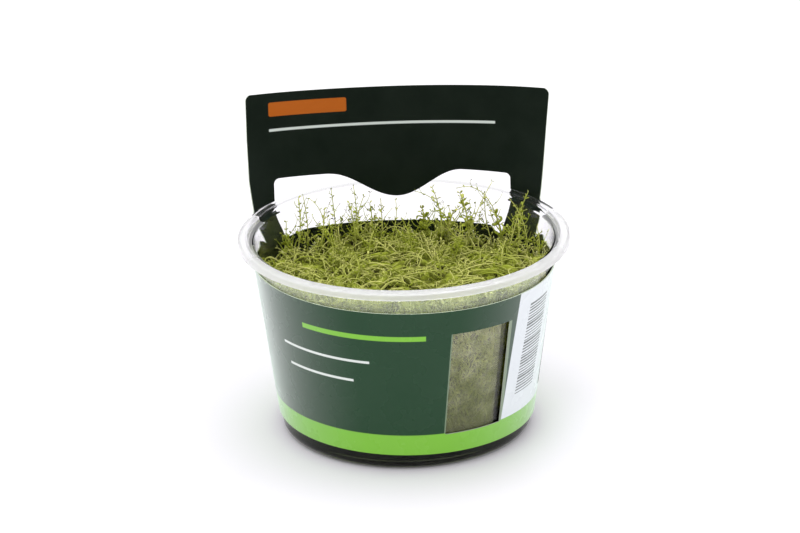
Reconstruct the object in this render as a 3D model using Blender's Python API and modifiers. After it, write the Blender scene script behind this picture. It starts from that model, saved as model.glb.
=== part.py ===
"""Pearlweed in its in vitro cup: a clear cup, a die-cut card sleeve with a tall header, jelly and plants.

Metres, +Z up, resting on z = 0. The header stands at the back (+Y); the card's front faces -Y.
Lengths that end in _MM are millimetres and are turned into metres where a mesh is made.
"""

import math

import bmesh
import bpy
from mathutils import Vector, noise
from mathutils.bvhtree import BVHTree

MM = 0.001
GAP_MM = 0.3

# The cup: a turned shape, straight wall, rounded foot, lip turned down round the mouth
CUP_HEIGHT_MM = 61.7
RIM_RADIUS_MM = 50.5
RIM_LIP_MM = 2.4
MOUTH_RADIUS_MM = 47.5
MOUTH_STEP_MM = 1.4
WALL_MM = 0.6
WALL_SLOPE = 0.131
WALL_FOOT_RADIUS_MM = 38.34
FOOT_ROUND_MM = 3.0
FOOT_RING_MM = 2.4
FOOT_RECESS_MM = 0.8
FLOOR_TOP_MM = 1.7
FOOT_INSIDE_ROUND_MM = FOOT_ROUND_MM - WALL_MM
RIM_PLATE_MM = 0.8
RIM_ROUND_MM = 0.8
LIP_WALL_MM = 0.75
STEP_PLATE_MM = 0.9
EDGE_MM = 0.3
CUP_STEPS = 56

# The card: a band round the cup, and a header behind it
CARD_MM = 0.35
BAND_BOTTOM_MM = 5.4
BAND_TOP_MM = 53.4
BAND_BACK_TOP_MM = 48.9
BAND_SKEW = 0.015
HEADER_TOP_MM = 92.1
HEADER_TOP_BOW_LEFT_MM = 1.6
HEADER_TOP_BOW_RIGHT_MM = 1.0
HEADER_LEFT_MM = 46.8
HEADER_RIGHT_MM = 48.0
HEADER_CORNER_MM = 1.8
HEADER_BACK_MM = 45.0
HEADER_LEAN = 0.18
HEADER_FOOT_MM = 62.0
HEADER_RADIUS_LOW_MM = 80.0
HEADER_RADIUS_HIGH_MM = 113.0
HEADER_CURL_MM = 4.6
HEADER_CURL_FROM_MM = 34.0
HEADER_CURL_FADE_MM = 12.0
HEADER_STRAIGHT_MM = 86.0
HEADER_SIDE_FROM_MM = 80.0
CUTOUT_LEFT_MM = 38.8
CUTOUT_RIGHT_MM = 35.6
CUTOUT_TOP_MM = 66.0
CUTOUT_TOP_SLOPE_LEFT = 0.065
CUTOUT_CORNER_MM = 1.4
TONGUE_MIDDLE_MM = 0.3
TONGUE_DEPTH_MM = 8.5
TONGUE_LEFT_MM = 22.4
TONGUE_RIGHT_MM = 20.6
SHEET_SPAN_MM = 50.0
SHEET_REACH_DEG = 80.0
BEND_START_MM = 50.5
BEND_END_MM = 56.0
BEND_END_SIDE_MM = 2.5
BEND_SIDE_DEG = (20.0, 45.0)
BESIDE_STRUT_DEG = (70.0, 76.0)
BESIDE_STRUT_MM = (54.0, 58.0)
BAND_COLUMNS = 60
CARD_ROWS_MM = [5.4, 29.0, 48.0, 50.5, 53.0, 55.5, 58.0, 60.5, 63.0, 66.0, 70.0, 75.0, 81.0, 88.0, 96.0]

# The struts' edges, from the root up to the header: how far round from the back, and the height
LEFT_STRUT_OUTER = [(71.5, 53.4), (68.0, 52.7), (66.8, 52.0), (66.0, 54.0), (65.0, 60.4), (68.4, 69.0)]
RIGHT_STRUT_OUTER = [(71.5, 53.4), (67.7, 52.7), (66.5, 52.0), (65.0, 54.0), (61.9, 60.7), (63.9, 66.0)]
LEFT_STRUT_INNER = [(50.4, 50.2), (51.8, 50.3), (52.6, 50.8), (52.8, 51.8), (50.9, 60.5)]
RIGHT_STRUT_INNER = [(43.6, 48.6), (45.2, 48.8), (46.2, 49.6), (46.6, 52.0), (45.4, 60.5)]
# The band's top edge behind the plants, for one side
BAND_BACK_EDGE = [(40.0, 50.5), (32.0, 49.9), (24.0, 49.5), (16.0, 49.2), (8.0, 49.0)]
# The window's corners
WINDOW = [(139.5, 11.8), (166.5, 11.8), (164.6, 45.7), (139.0, 45.7)]
# How far the cutters reach: past the seam, above the header, and through the flat card either way
CUTTER_TURN_DEG = 190.0
CUTTER_TOP_MM = 120.0
CUTTER_REACH = 2.0

# What grows in the cup
GEL_TOP_MM = 9.0
MAT_FRONT_MM = 56.5
MAT_BACK_MM = 46.5
MAT_LUMP_MM = 2.2
MAT_LUMP_SIZE_MM = 12.0
MAT_SIDE_MM = 48.0
MAT_RINGS_MM = (0.0, 9.0, 18.0, 27.0, 36.0, 43.0)
MAT_STEPS = 36

# A sprig: a tapering stem with pairs of leaves at its joints, given as shares of its length
STEM_RADIUS_MM = 0.3
STEM_TAPER = 0.35
JOINTS = (0.32, 0.62, 0.95)
HALF_JOINT_MM = 0.22
LEAF_WIDEST = 0.55
LEAF_SLENDER = 0.45
LEAF_THICK_MM = 0.3
LEAF_TIP_WIDTH_MM = 0.3
LEAF_TIP_THICK_MM = 0.16
LEAF_LIFT = 0.35
LEAF_SHRINK = 0.12
BARE_LEAF_MM = 2.1
SPRIG_TURN = 0.8

# Each sprig: foot x and y, height of the tip, lean in x and in y, bow in x and in height, length of a leaf
SPRIGS = [
    (-32.0, 24.0, 64.5, 0.5, 1.0, 0.6, 0.0, 1.9),
    (-29.0, 27.0, 64.5, -1.0, 1.0, 0.6, 0.0, 1.4),
    (-24.5, 30.0, 62.5, -3.5, 0.5, 2.2, 1.5, 1.2),
    (-25.0, 25.0, 60.0, 1.5, 1.0, 0.3, 0.0, 2.3),
    (-19.5, 32.0, 64.5, -1.5, 0.5, 0.0, 0.0, 1.5),
    (-13.5, 33.0, 65.0, -0.5, 0.5, 0.5, 0.0, 1.6),
    (-14.0, 28.0, 61.0, -1.5, 1.0, 0.3, 0.0, 1.7),
    (-12.5, 31.0, 62.0, 1.5, 0.5, -1.2, 0.0, 1.6),
    (-8.5, 33.0, 59.0, -0.5, 0.5, 0.4, 0.0, 2.0),
    (-5.0, 34.0, 60.0, -0.5, 0.0, 0.0, 0.0, 1.8),
    (-3.0, 27.0, 61.5, 2.0, 2.0, 0.8, 0.0, 1.3),
    (11.5, 30.0, 63.5, -6.0, 1.0, 4.2, 2.0, 1.3),
    (13.0, 27.0, 65.5, -2.5, 1.0, 1.0, 0.0, 2.0),
    (8.0, 34.0, 56.5, -0.5, 0.0, 0.4, 0.0, 2.7),
    (15.0, 31.0, 56.5, 2.0, -1.0, 0.0, 0.8, 3.2),
    (21.5, 26.0, 64.0, -2.5, 0.5, 0.8, 0.0, 2.8),
    (21.0, 24.0, 67.5, 8.0, 2.0, -0.8, 0.0, 1.4),
    (32.5, 26.5, 64.5, -14.0, 3.5, 1.5, 6.0, 1.3),
    (28.5, 29.0, 62.5, -1.5, 1.0, -0.6, 0.0, 1.5),
    (31.5, 22.5, 58.5, -2.0, 0.5, 0.5, 0.6, 3.0),
    (33.5, 15.0, 66.0, 6.0, 4.0, -0.5, 0.0, 1.8),
    (38.5, 9.0, 66.5, -5.0, 3.5, 1.4, 1.0, 1.3),
    (35.5, 19.5, 59.5, 2.5, 0.5, 0.3, 0.4, 2.6),
    (35.0, 6.0, 62.0, 0.5, 2.0, 0.5, 0.0, 1.5),
    (-36.0, 18.0, 59.0, 0.5, 1.0, 0.0, 0.0, 1.8),
    (41.5, 2.0, 60.5, -0.5, 2.0, 0.3, 0.0, 1.8),
    (16.0, 8.0, 59.5, 2.0, 2.0, 0.4, 0.0, 2.0),
    (3.0, 12.0, 60.5, -2.5, 1.0, 0.5, 0.0, 1.8),
    (-10.5, 10.0, 59.5, 2.5, 2.0, -0.5, 0.0, 2.0),
    (-21.5, 6.0, 60.0, -1.5, 2.0, 0.6, 0.0, 2.2),
    (-14.0, -14.0, 60.5, 2.5, -1.0, -0.4, 0.0, 2.0),
    (10.0, -18.0, 61.0, -2.0, 1.0, 0.4, 0.4, 2.2),
    (29.0, -10.0, 60.5, 1.5, 3.0, -0.4, 0.0, 2.0),
]


def clear_scene():
    for old in list(bpy.data.objects):
        bpy.data.objects.remove(old, do_unlink=True)


def collection(name, rendered=True):
    group = bpy.data.collections.new(name)
    bpy.context.scene.collection.children.link(group)
    group.hide_render = not rendered
    return group


def material(name, colour, roughness, metallic=0.0, transmission=0.0):
    made = bpy.data.materials.new(name)
    made.use_nodes = True
    shader = made.node_tree.nodes["Principled BSDF"]
    shader.inputs["Base Color"].default_value = (*colour, 1.0)
    shader.inputs["Roughness"].default_value = roughness
    shader.inputs["Metallic"].default_value = metallic
    shader.inputs["Transmission Weight"].default_value = transmission
    return made


def mesh_object(name, bm, group, look=None):
    mesh = bpy.data.meshes.new(name)
    bm.to_mesh(mesh)
    bm.free()
    made = bpy.data.objects.new(name, mesh)
    group.objects.link(made)
    if look is not None:
        mesh.materials.append(look)
    return made


def smoothstep(value, start, end):
    t = min(max((value - start) / (end - start), 0.0), 1.0)
    return t * t * (3 - 2 * t)


def wall_radius(height_mm):
    """The cup wall's outer radius at a height."""
    return WALL_FOOT_RADIUS_MM + WALL_SLOPE * height_mm


def turned(name, profile_mm, steps, group, look):
    """A profile of (radius, height) points turned round the Z axis by a Screw modifier."""
    bm = bmesh.new()
    points = [bm.verts.new((r * MM, 0, z * MM)) for r, z in profile_mm]
    for a, b in zip(points, points[1:]):
        bm.edges.new((a, b))
    made = mesh_object(name, bm, group, look)
    screw = made.modifiers.new("Turn", "SCREW")
    screw.steps = steps
    screw.render_steps = steps
    screw.use_merge_vertices = True
    screw.merge_threshold = 0.00002
    return made


def arc(centre_r, centre_z, radius, start_deg, end_deg, count):
    """Points of an arc in the profile's plane."""
    angles = [math.radians(start_deg + (end_deg - start_deg) * i / count) for i in range(count + 1)]
    return [(centre_r + radius * math.cos(a), centre_z + radius * math.sin(a)) for a in angles]


def inside_foot_radius():
    """The centre of the round between the cup's inner wall and its floor."""
    return wall_radius(FLOOR_TOP_MM + FOOT_INSIDE_ROUND_MM) - WALL_MM - FOOT_INSIDE_ROUND_MM


def cup(group):
    """The profile runs up the inner side, over the rim, down the outer side and under the foot."""
    top = CUP_HEIGHT_MM
    step = top - MOUTH_STEP_MM
    inner_top = wall_radius(step) - WALL_MM
    lip_inside = RIM_RADIUS_MM - LIP_WALL_MM
    inside_centre = FLOOR_TOP_MM + FOOT_INSIDE_ROUND_MM
    foot_centre = wall_radius(FOOT_ROUND_MM) - FOOT_ROUND_MM
    floor = [(0.0, FLOOR_TOP_MM)]
    floor += arc(inside_foot_radius(), inside_centre, FOOT_INSIDE_ROUND_MM, -90, 0, 2)
    mouth = [
        (inner_top, step - EDGE_MM),
        (inner_top + EDGE_MM, step),
        (MOUTH_RADIUS_MM - EDGE_MM, step),
        (MOUTH_RADIUS_MM, step + EDGE_MM),
        (MOUTH_RADIUS_MM, top - EDGE_MM),
    ]
    rim = [(MOUTH_RADIUS_MM + EDGE_MM, top)]
    rim += arc(RIM_RADIUS_MM - RIM_ROUND_MM, top - RIM_ROUND_MM, RIM_ROUND_MM, 90, 0, 2)
    lip = [
        (RIM_RADIUS_MM, top - RIM_LIP_MM),
        (lip_inside, top - RIM_LIP_MM),
        (lip_inside, top - RIM_PLATE_MM),
        (MOUTH_RADIUS_MM + EDGE_MM, top - RIM_PLATE_MM),
    ]
    neck = [(MOUTH_RADIUS_MM, step - WALL_MM), (wall_radius(step), step - STEP_PLATE_MM)]
    foot = arc(foot_centre, FOOT_ROUND_MM, FOOT_ROUND_MM, 0, -90, 3)
    ring = [
        (foot_centre - FOOT_RING_MM, 0.0),
        (foot_centre - FOOT_RING_MM - FOOT_RECESS_MM, FOOT_RECESS_MM),
        (0.0, FOOT_RECESS_MM),
    ]
    profile = floor + mouth + rim + lip + neck + foot + ring
    look = material("clear_plastic", (0.93, 0.95, 0.95), 0.06, transmission=1.0)
    return turned("cup", profile, CUP_STEPS, group, look)


def header_point(x, z):
    """A point of the header: a leaning, shallow curve whose ends curl forward near the rim."""
    above = max(z - HEADER_FOOT_MM, 0.0)
    straight = smoothstep(z, HEADER_FOOT_MM, HEADER_STRAIGHT_MM)
    radius = HEADER_RADIUS_LOW_MM + (HEADER_RADIUS_HIGH_MM - HEADER_RADIUS_LOW_MM) * straight
    back = HEADER_BACK_MM + HEADER_LEAN * (z - HEADER_FOOT_MM)
    curl = HEADER_CURL_MM * math.exp(-above / HEADER_CURL_FADE_MM)
    edge = max(abs(x) - HEADER_CURL_FROM_MM, 0.0) / (HEADER_LEFT_MM - HEADER_CURL_FROM_MM)
    return Vector((x, back - (radius - math.sqrt(radius**2 - x**2)) - curl * edge**2, z))


def band_point(turn_deg, z):
    """A point of the band: a cone that follows the cup's wall, measured from the back."""
    radius = wall_radius(z) + GAP_MM
    a = math.radians(turn_deg)
    x = radius * math.sin(a)
    return Vector((x, radius * math.cos(a), z - BAND_SKEW * x))


def card_point(turn_deg, z):
    """The inner face of the bent card: band below, header above, struts between them."""
    band = band_point(turn_deg, z)
    if abs(turn_deg) > SHEET_REACH_DEG:
        return band
    header = header_point(SHEET_SPAN_MM * math.sin(math.radians(turn_deg)), z)
    end = BEND_END_MM + BEND_END_SIDE_MM * smoothstep(abs(turn_deg), *BEND_SIDE_DEG)
    # Beside the struts the card stays on the cone up to the band's top edge
    beside = smoothstep(abs(turn_deg), *BESIDE_STRUT_DEG) * (1.0 - smoothstep(z, *BESIDE_STRUT_MM))
    return band.lerp(header, smoothstep(z, BEND_START_MM, end) * (1.0 - beside))


def bent(turn_deg, z, out):
    """A point of the card at a distance out from its inner face."""
    near_deg, near_mm = 0.5, 0.2
    along = card_point(turn_deg + near_deg, z) - card_point(turn_deg - near_deg, z)
    up = card_point(turn_deg, z + near_mm) - card_point(turn_deg, z - near_mm)
    return card_point(turn_deg, z) + up.cross(along).normalized() * out


def header_turn(x_mm):
    return math.degrees(math.asin(x_mm / SHEET_SPAN_MM))


def outline_cutter(name, outline, group):
    """A closed outline of (turn, height) points made a solid that passes through the flat card."""
    bm = bmesh.new()
    face = bm.faces.new([bm.verts.new((u, z, -CUTTER_REACH)) for u, z in outline])
    raised = bmesh.ops.extrude_face_region(bm, geom=[face])["geom"]
    moved = [item for item in raised if isinstance(item, bmesh.types.BMVert)]
    bmesh.ops.translate(bm, verts=moved, vec=(0, 0, 2 * CUTTER_REACH))
    bmesh.ops.recalc_face_normals(bm, faces=bm.faces[:])
    made = mesh_object(name, bm, group)
    made.display_type = "WIRE"
    made.hide_render = True
    return made


def sheet_arc(centre_x, centre_z, radius, start_deg, end_deg, count):
    """An arc given in millimetres across the header, as points of the flat card."""
    points = arc(centre_x, centre_z, radius, start_deg, end_deg, count)
    return [(header_turn(x), z) for x, z in points]


def cutout_top(x):
    """The height of the cut-out's upper edge, without the tongue."""
    return CUTOUT_TOP_MM + CUTOUT_TOP_SLOPE_LEFT * max(-x - TONGUE_RIGHT_MM, 0.0)


def cutout_outline():
    """The wide cut-out between the struts, with the tongue that dips into it from above."""
    tongue = []
    for i in range(-12, 13):
        reach = TONGUE_LEFT_MM if i < 0 else TONGUE_RIGHT_MM
        x = TONGUE_MIDDLE_MM + reach * i / 12
        drop = TONGUE_DEPTH_MM * (1 + math.cos(math.pi * i / 12)) / 2
        tongue.append((header_turn(x), cutout_top(x) - drop))
    corner = CUTOUT_CORNER_MM
    right = sheet_arc(CUTOUT_RIGHT_MM - corner, cutout_top(CUTOUT_RIGHT_MM) - corner, corner, 90, 0, 2)
    right += reversed(RIGHT_STRUT_INNER)
    low = BAND_BACK_EDGE + [(0.0, BAND_BACK_TOP_MM)] + [(-u, z) for u, z in reversed(BAND_BACK_EDGE)]
    left = [(-u, z) for u, z in LEFT_STRUT_INNER]
    left += sheet_arc(corner - CUTOUT_LEFT_MM, cutout_top(-CUTOUT_LEFT_MM) - corner, corner, 180, 90, 2)
    return tongue + right + low + left


def shoulder_outline(sign):
    """What is cut away beside the header: from the band's top edge up to the header's top edge."""
    side = HEADER_RIGHT_MM if sign > 0 else HEADER_LEFT_MM
    bow = HEADER_TOP_BOW_RIGHT_MM if sign > 0 else HEADER_TOP_BOW_LEFT_MM
    strut = RIGHT_STRUT_OUTER if sign > 0 else LEFT_STRUT_OUTER
    corner = HEADER_CORNER_MM
    outline = [(CUTTER_TURN_DEG, BAND_TOP_MM)] + strut
    outline.append((header_turn(min(HEADER_LEFT_MM, HEADER_RIGHT_MM)), HEADER_SIDE_FROM_MM))
    outline += sheet_arc(side - corner, HEADER_TOP_MM + bow - corner, corner, 0, 75, 2)
    for i in range(7, -1, -1):
        outline.append((header_turn(side * i / 8), HEADER_TOP_MM + bow * (i / 8) ** 2))
    outline += [(0.0, CUTTER_TOP_MM), (CUTTER_TURN_DEG, CUTTER_TOP_MM)]
    return [(sign * u, z) for u, z in outline]


def flat_card(group):
    """The blank: a grid over the flat card, closer where it bends two ways."""
    last = len(CARD_ROWS_MM) - 1
    bm = bmesh.new()
    bmesh.ops.create_grid(bm, x_segments=BAND_COLUMNS, y_segments=last, size=1.0)
    for vert in bm.verts:
        row = round((vert.co.y + 1.0) / 2.0 * last)
        vert.co = Vector((vert.co.x * 180.0, CARD_ROWS_MM[row], 0.0))
    made = mesh_object("sleeve_blank", bm, group)
    made.display_type = "WIRE"
    solid = made.modifiers.new("Card", "SOLIDIFY")
    solid.thickness = 1.0
    solid.offset = 0.0
    return made


def sleeve(group, cutters):
    """The die-cut card, cut flat and then bent round the cup."""
    blank = flat_card(cutters)
    outlines = {
        "cut_cutout": cutout_outline(),
        "cut_window": WINDOW,
        "cut_left_shoulder": shoulder_outline(-1),
        "cut_right_shoulder": shoulder_outline(1),
    }
    for name, outline in outlines.items():
        cut = blank.modifiers.new(name, "BOOLEAN")
        cut.operation = "DIFFERENCE"
        cut.object = outline_cutter(name, outline, cutters)
    graph = bpy.context.evaluated_depsgraph_get()
    bm = bmesh.new()
    bm.from_object(blank, graph)
    ends = [f for f in bm.faces if all(abs(abs(v.co.x) - 180.0) < 0.01 for v in f.verts)]
    bmesh.ops.delete(bm, geom=ends, context="FACES_ONLY")
    bmesh.ops.triangulate(bm, faces=bm.faces[:])
    for vert in bm.verts:
        out = (vert.co.z + 0.5) * CARD_MM
        vert.co = bent(vert.co.x, vert.co.y, out) * MM
    bmesh.ops.remove_doubles(bm, verts=bm.verts[:], dist=0.000005)
    bmesh.ops.recalc_face_normals(bm, faces=bm.faces[:])
    bpy.data.objects.remove(blank, do_unlink=True)
    return mesh_object("sleeve", bm, group, material("printed_card", (0.045, 0.085, 0.055), 0.35))


def gel(group):
    bottom = FLOOR_TOP_MM + GAP_MM
    side = wall_radius(GEL_TOP_MM) - WALL_MM - GAP_MM
    foot_round = FOOT_INSIDE_ROUND_MM - GAP_MM
    profile = [(0.0, GEL_TOP_MM), (side, GEL_TOP_MM)]
    profile += arc(inside_foot_radius(), bottom + foot_round, foot_round, 0, -90, 2)
    profile += [(0.0, bottom)]
    look = material("nutrient_jelly", (0.28, 0.30, 0.12), 0.15, transmission=0.5)
    return turned("nutrient_gel", profile, CUP_STEPS, group, look)


def mat_top(x, y):
    """Height of the mat's upper side: high at the front wall, lower at the back, with soft lumps."""
    slope = smoothstep(y, -45.0, 45.0)
    lump = noise.noise(Vector((x, y, 0.0)) / MAT_LUMP_SIZE_MM)
    return MAT_FRONT_MM + (MAT_BACK_MM - MAT_FRONT_MM) * slope + MAT_LUMP_MM * lump


def plant_mat(group):
    """The tangle of stems as one solid: a turned block whose top is then raised into lumps.

    It returns the finished surface, for the sprigs to stand on."""
    bottom = GEL_TOP_MM + GAP_MM
    inner = -WALL_MM - GAP_MM
    profile = [(ring, CUP_HEIGHT_MM) for ring in MAT_RINGS_MM]
    profile += [(wall_radius(z) + inner, z) for z in (MAT_SIDE_MM, bottom)]
    profile += [(0.0, bottom)]
    made = turned("plant_mat", profile, MAT_STEPS, group, material("pearlweed", (0.26, 0.30, 0.06), 0.6))
    graph = bpy.context.evaluated_depsgraph_get()
    bm = bmesh.new()
    bm.from_object(made, graph)
    for vert in bm.verts:
        if vert.co.z > (MAT_SIDE_MM + GAP_MM) * MM:
            vert.co.z = mat_top(vert.co.x / MM, vert.co.y / MM) * MM
    made.modifiers.clear()
    bm.to_mesh(made.data)
    surface = BVHTree.FromBMesh(bm)
    bm.free()
    return surface


def leaf(bm, face, along, lift, length):
    """Draws one flat leaf out of a face of the stem, widening and then closing to its tip."""
    out = (face.normal + along * lift).normalized()
    across = along.cross(face.normal).normalized()
    over = out.cross(across)
    root = face.calc_center_median()
    widest = (LEAF_WIDEST, length * LEAF_SLENDER, LEAF_THICK_MM)
    for reach, width, thick in (widest, (1.0, LEAF_TIP_WIDTH_MM, LEAF_TIP_THICK_MM)):
        face = bmesh.ops.extrude_discrete_faces(bm, faces=[face])["faces"][0]
        middle = face.calc_center_median()
        placed = {}
        for vert in face.verts:
            side = 0.5 if (vert.co - middle).dot(across) > 0 else -0.5
            level = 0.5 if (vert.co - middle).dot(over) > 0 else -0.5
            placed[vert] = root + out * length * reach + across * width * side + over * thick * level
        for vert, where in placed.items():
            vert.co = where


def sprig(name, foot, tip, bow, first_turn, leaf_mm, look, group):
    """One stem with opposite leaves, drawn as a four-sided tube; the leaves grow out of its faces."""
    rise = tip - foot
    half_joint = HALF_JOINT_MM / rise.length
    levels = [0.0]
    for joint in JOINTS:
        levels += [joint - half_joint, joint + half_joint]
    levels.append(1.0)
    bm = bmesh.new()
    end = bmesh.ops.create_circle(bm, cap_ends=True, segments=4, radius=1.0)["verts"][0].link_faces[0]
    rows = [list(end.verts)]
    for _ in levels[1:]:
        old_end = end
        grown = bmesh.ops.extrude_face_region(bm, geom=[old_end])["geom"]
        end = next(item for item in grown if isinstance(item, bmesh.types.BMFace))
        rows.append(list(end.verts))
        if len(rows) > 2:
            bmesh.ops.delete(bm, geom=[old_end], context="FACES_ONLY")
    for row, level in zip(rows, levels):
        centre = foot + rise * level + bow * math.sin(math.pi * level)
        along = rise + bow * math.pi * math.cos(math.pi * level)
        facing = Vector((0.0, 0.0, 1.0)).rotation_difference(along)
        radius = STEM_RADIUS_MM * (1.0 - STEM_TAPER * level)
        for i, vert in enumerate(row):
            a = first_turn + math.pi / 4 + math.pi / 2 * i
            vert.co = centre + facing @ Vector((math.cos(a), math.sin(a), 0.0)) * radius
    bmesh.ops.recalc_face_normals(bm, faces=bm.faces[:])
    for number, joint in enumerate(JOINTS):
        if number == 0 and leaf_mm < BARE_LEAF_MM:
            continue
        centre = foot + rise * joint + bow * math.sin(math.pi * joint)
        along = (rise + bow * math.pi * math.cos(math.pi * joint)).normalized()
        sides = [f for f in bm.faces if (f.calc_center_median() - centre).length < STEM_RADIUS_MM]
        sides.sort(key=lambda f: math.atan2(f.normal.y, f.normal.x))
        for face in sides[number % 2 :: 2]:
            leaf(bm, face, along, LEAF_LIFT * (1 + number), leaf_mm * (1.0 - LEAF_SHRINK * number))
    bmesh.ops.scale(bm, vec=(MM, MM, MM), verts=bm.verts[:])
    bmesh.ops.recalc_face_normals(bm, faces=bm.faces[:])
    return mesh_object(name, bm, group, look)


def sprigs(group, surface):
    look = material("pearlweed_sprig", (0.42, 0.47, 0.13), 0.5)
    for number, (x, y, top, lean_x, lean_y, bow_x, bow_z, leaf_mm) in enumerate(SPRIGS, start=1):
        ground = surface.ray_cast(Vector((x, y, CUP_HEIGHT_MM)) * MM, Vector((0.0, 0.0, -1.0)))[0]
        foot = Vector((x, y, ground.z / MM + 2 * GAP_MM))
        tip = Vector((x + lean_x, y + lean_y, top))
        bow = Vector((bow_x, 0.0, bow_z))
        sprig(f"sprig_{number:02d}", foot, tip, bow, number * SPRIG_TURN, leaf_mm, look, group)


def main():
    clear_scene()
    parts = collection("pearlweed_cup")
    cutters = collection("cutters", rendered=False)
    cup(parts)
    sleeve(parts, cutters)
    gel(parts)
    surface = plant_mat(parts)
    sprigs(parts, surface)


main()
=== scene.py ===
"""Pearlweed in its in vitro cup, dressed for a studio render.

The file is laid out as a Blender add-on and run as a script. Each operator makes one piece or one group of
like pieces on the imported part, and the last one makes the floor, the light and the camera. Lengths that end
in _MM, and all lengths inside the shape functions, are millimetres until a mesh is made.
"""

import math
import random

import bmesh
import bpy
import numpy as np
from mathutils import Matrix, Vector, noise


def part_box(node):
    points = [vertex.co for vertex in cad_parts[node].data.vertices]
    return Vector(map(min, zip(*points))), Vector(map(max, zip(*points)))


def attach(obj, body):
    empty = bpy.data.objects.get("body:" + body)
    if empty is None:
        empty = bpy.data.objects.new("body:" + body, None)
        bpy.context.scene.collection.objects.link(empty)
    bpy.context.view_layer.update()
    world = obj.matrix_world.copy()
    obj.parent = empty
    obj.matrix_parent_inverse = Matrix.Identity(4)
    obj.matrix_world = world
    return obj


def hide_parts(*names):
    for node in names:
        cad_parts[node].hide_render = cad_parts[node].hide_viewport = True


bl_info = {
    "name": "Pearlweed in vitro cup",
    "version": (1, 0, 0),
    "blender": (4, 5, 0),
    "location": "View3D > Sidebar > Pearlweed cup",
    "description": "Makes the cup, its printed card, the jelly, the plants and a studio",
    "category": "Object",
}

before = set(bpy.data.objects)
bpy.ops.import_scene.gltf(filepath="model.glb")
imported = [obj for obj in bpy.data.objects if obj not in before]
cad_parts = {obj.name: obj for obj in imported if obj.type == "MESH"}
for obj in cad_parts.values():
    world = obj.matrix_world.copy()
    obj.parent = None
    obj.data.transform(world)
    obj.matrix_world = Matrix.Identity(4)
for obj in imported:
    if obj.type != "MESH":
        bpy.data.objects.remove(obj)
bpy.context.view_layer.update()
MM = 0.001
BODY = "root"
SPRIG_NODES = sorted(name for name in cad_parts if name.startswith("sprig_"))

# The cup, as the part has it
CUP_HEIGHT_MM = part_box("cup")[1].z / MM
RIM_RADIUS_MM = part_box("cup")[1].x / MM
RIM_LIP_MM = 2.4
MOUTH_RADIUS_MM = 47.5
MOUTH_STEP_MM = 1.4
WALL_MM = 0.6
WALL_SLOPE = 0.131
WALL_FOOT_RADIUS_MM = 38.34
FOOT_ROUND_MM = 3.0
FOOT_RING_MM = 2.4
FOOT_RECESS_MM = 0.8
FLOOR_TOP_MM = 1.7
FLANGE_FROM_MM = 46.7
MILKY_DEG = (-112.0, 108.0)
NECK_FROM_MM = 50.0
NECK_FOG_DEG = (-86.0, 60.0)
WINDOW_FOG_DEG = (6.0, 36.6)
GAP_MM = 0.3

# The card, as the part has it
CARD_MM = 0.35
BAND_BOTTOM_MM = 5.4
BAND_TOP_MM = 53.4
BAND_BACK_TOP_MM = 48.9
BAND_SKEW = 0.015
HEADER_TOP_MM = 92.1
HEADER_TOP_BOW_LEFT_MM = 1.6
HEADER_TOP_BOW_RIGHT_MM = 1.0
HEADER_LEFT_MM = 46.8
HEADER_RIGHT_MM = 48.0
HEADER_CORNER_MM = 1.8
HEADER_BACK_MM = 45.0
HEADER_LEAN = 0.18
HEADER_FOOT_MM = 62.0
HEADER_RADIUS_LOW_MM = 80.0
HEADER_RADIUS_HIGH_MM = 113.0
HEADER_CURL_MM = 4.6
HEADER_CURL_FROM_MM = 34.0
HEADER_CURL_FADE_MM = 12.0
HEADER_STRAIGHT_MM = 86.0
CUTOUT_LEFT_MM = 38.8
CUTOUT_RIGHT_MM = 35.6
CUTOUT_TOP_MM = 66.0
CUTOUT_TOP_SLOPE_LEFT = 0.065
CUTOUT_CORNER_MM = 1.4
TONGUE_MIDDLE_MM = 0.3
TONGUE_DEPTH_MM = 8.5
TONGUE_LEFT_MM = 22.4
TONGUE_RIGHT_MM = 20.6
SHEET_SPAN_MM = 50.0
BEND_START_MM = 50.5
BEND_END_MM = 56.0
BEND_END_SIDE_MM = 2.5

# The struts' edges, from the root up to the header: how far round from the back, and the height
LEFT_STRUT_OUTER = [(71.5, 53.4), (68.0, 52.7), (66.8, 52.0), (66.0, 54.0), (65.0, 60.4), (68.4, 69.0)]
RIGHT_STRUT_OUTER = [(71.5, 53.4), (67.7, 52.7), (66.5, 52.0), (65.0, 54.0), (61.9, 60.7), (63.9, 66.0)]
LEFT_STRUT_INNER = [(50.4, 50.2), (51.8, 50.3), (52.6, 50.8), (52.8, 51.8), (50.9, 60.5)]
RIGHT_STRUT_INNER = [(43.6, 48.6), (45.2, 48.8), (46.2, 49.6), (46.6, 52.0), (45.4, 60.5)]
# The band's top edge behind the plants, for one side
BAND_BACK_EDGE = [(40.0, 50.5), (32.0, 49.9), (24.0, 49.5), (16.0, 49.2), (8.0, 49.0)]
# The window's corners
WINDOW = [(139.5, 11.8), (166.5, 11.8), (164.6, 45.7), (139.0, 45.7)]

# What grows in the cup, as the part has it
GEL_TOP_MM = 9.0
MAT_FRONT_MM = 56.5
MAT_BACK_MM = 46.5
MAT_LUMP_MM = 2.2
MAT_LUMP_SIZE_MM = 12.0

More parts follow.
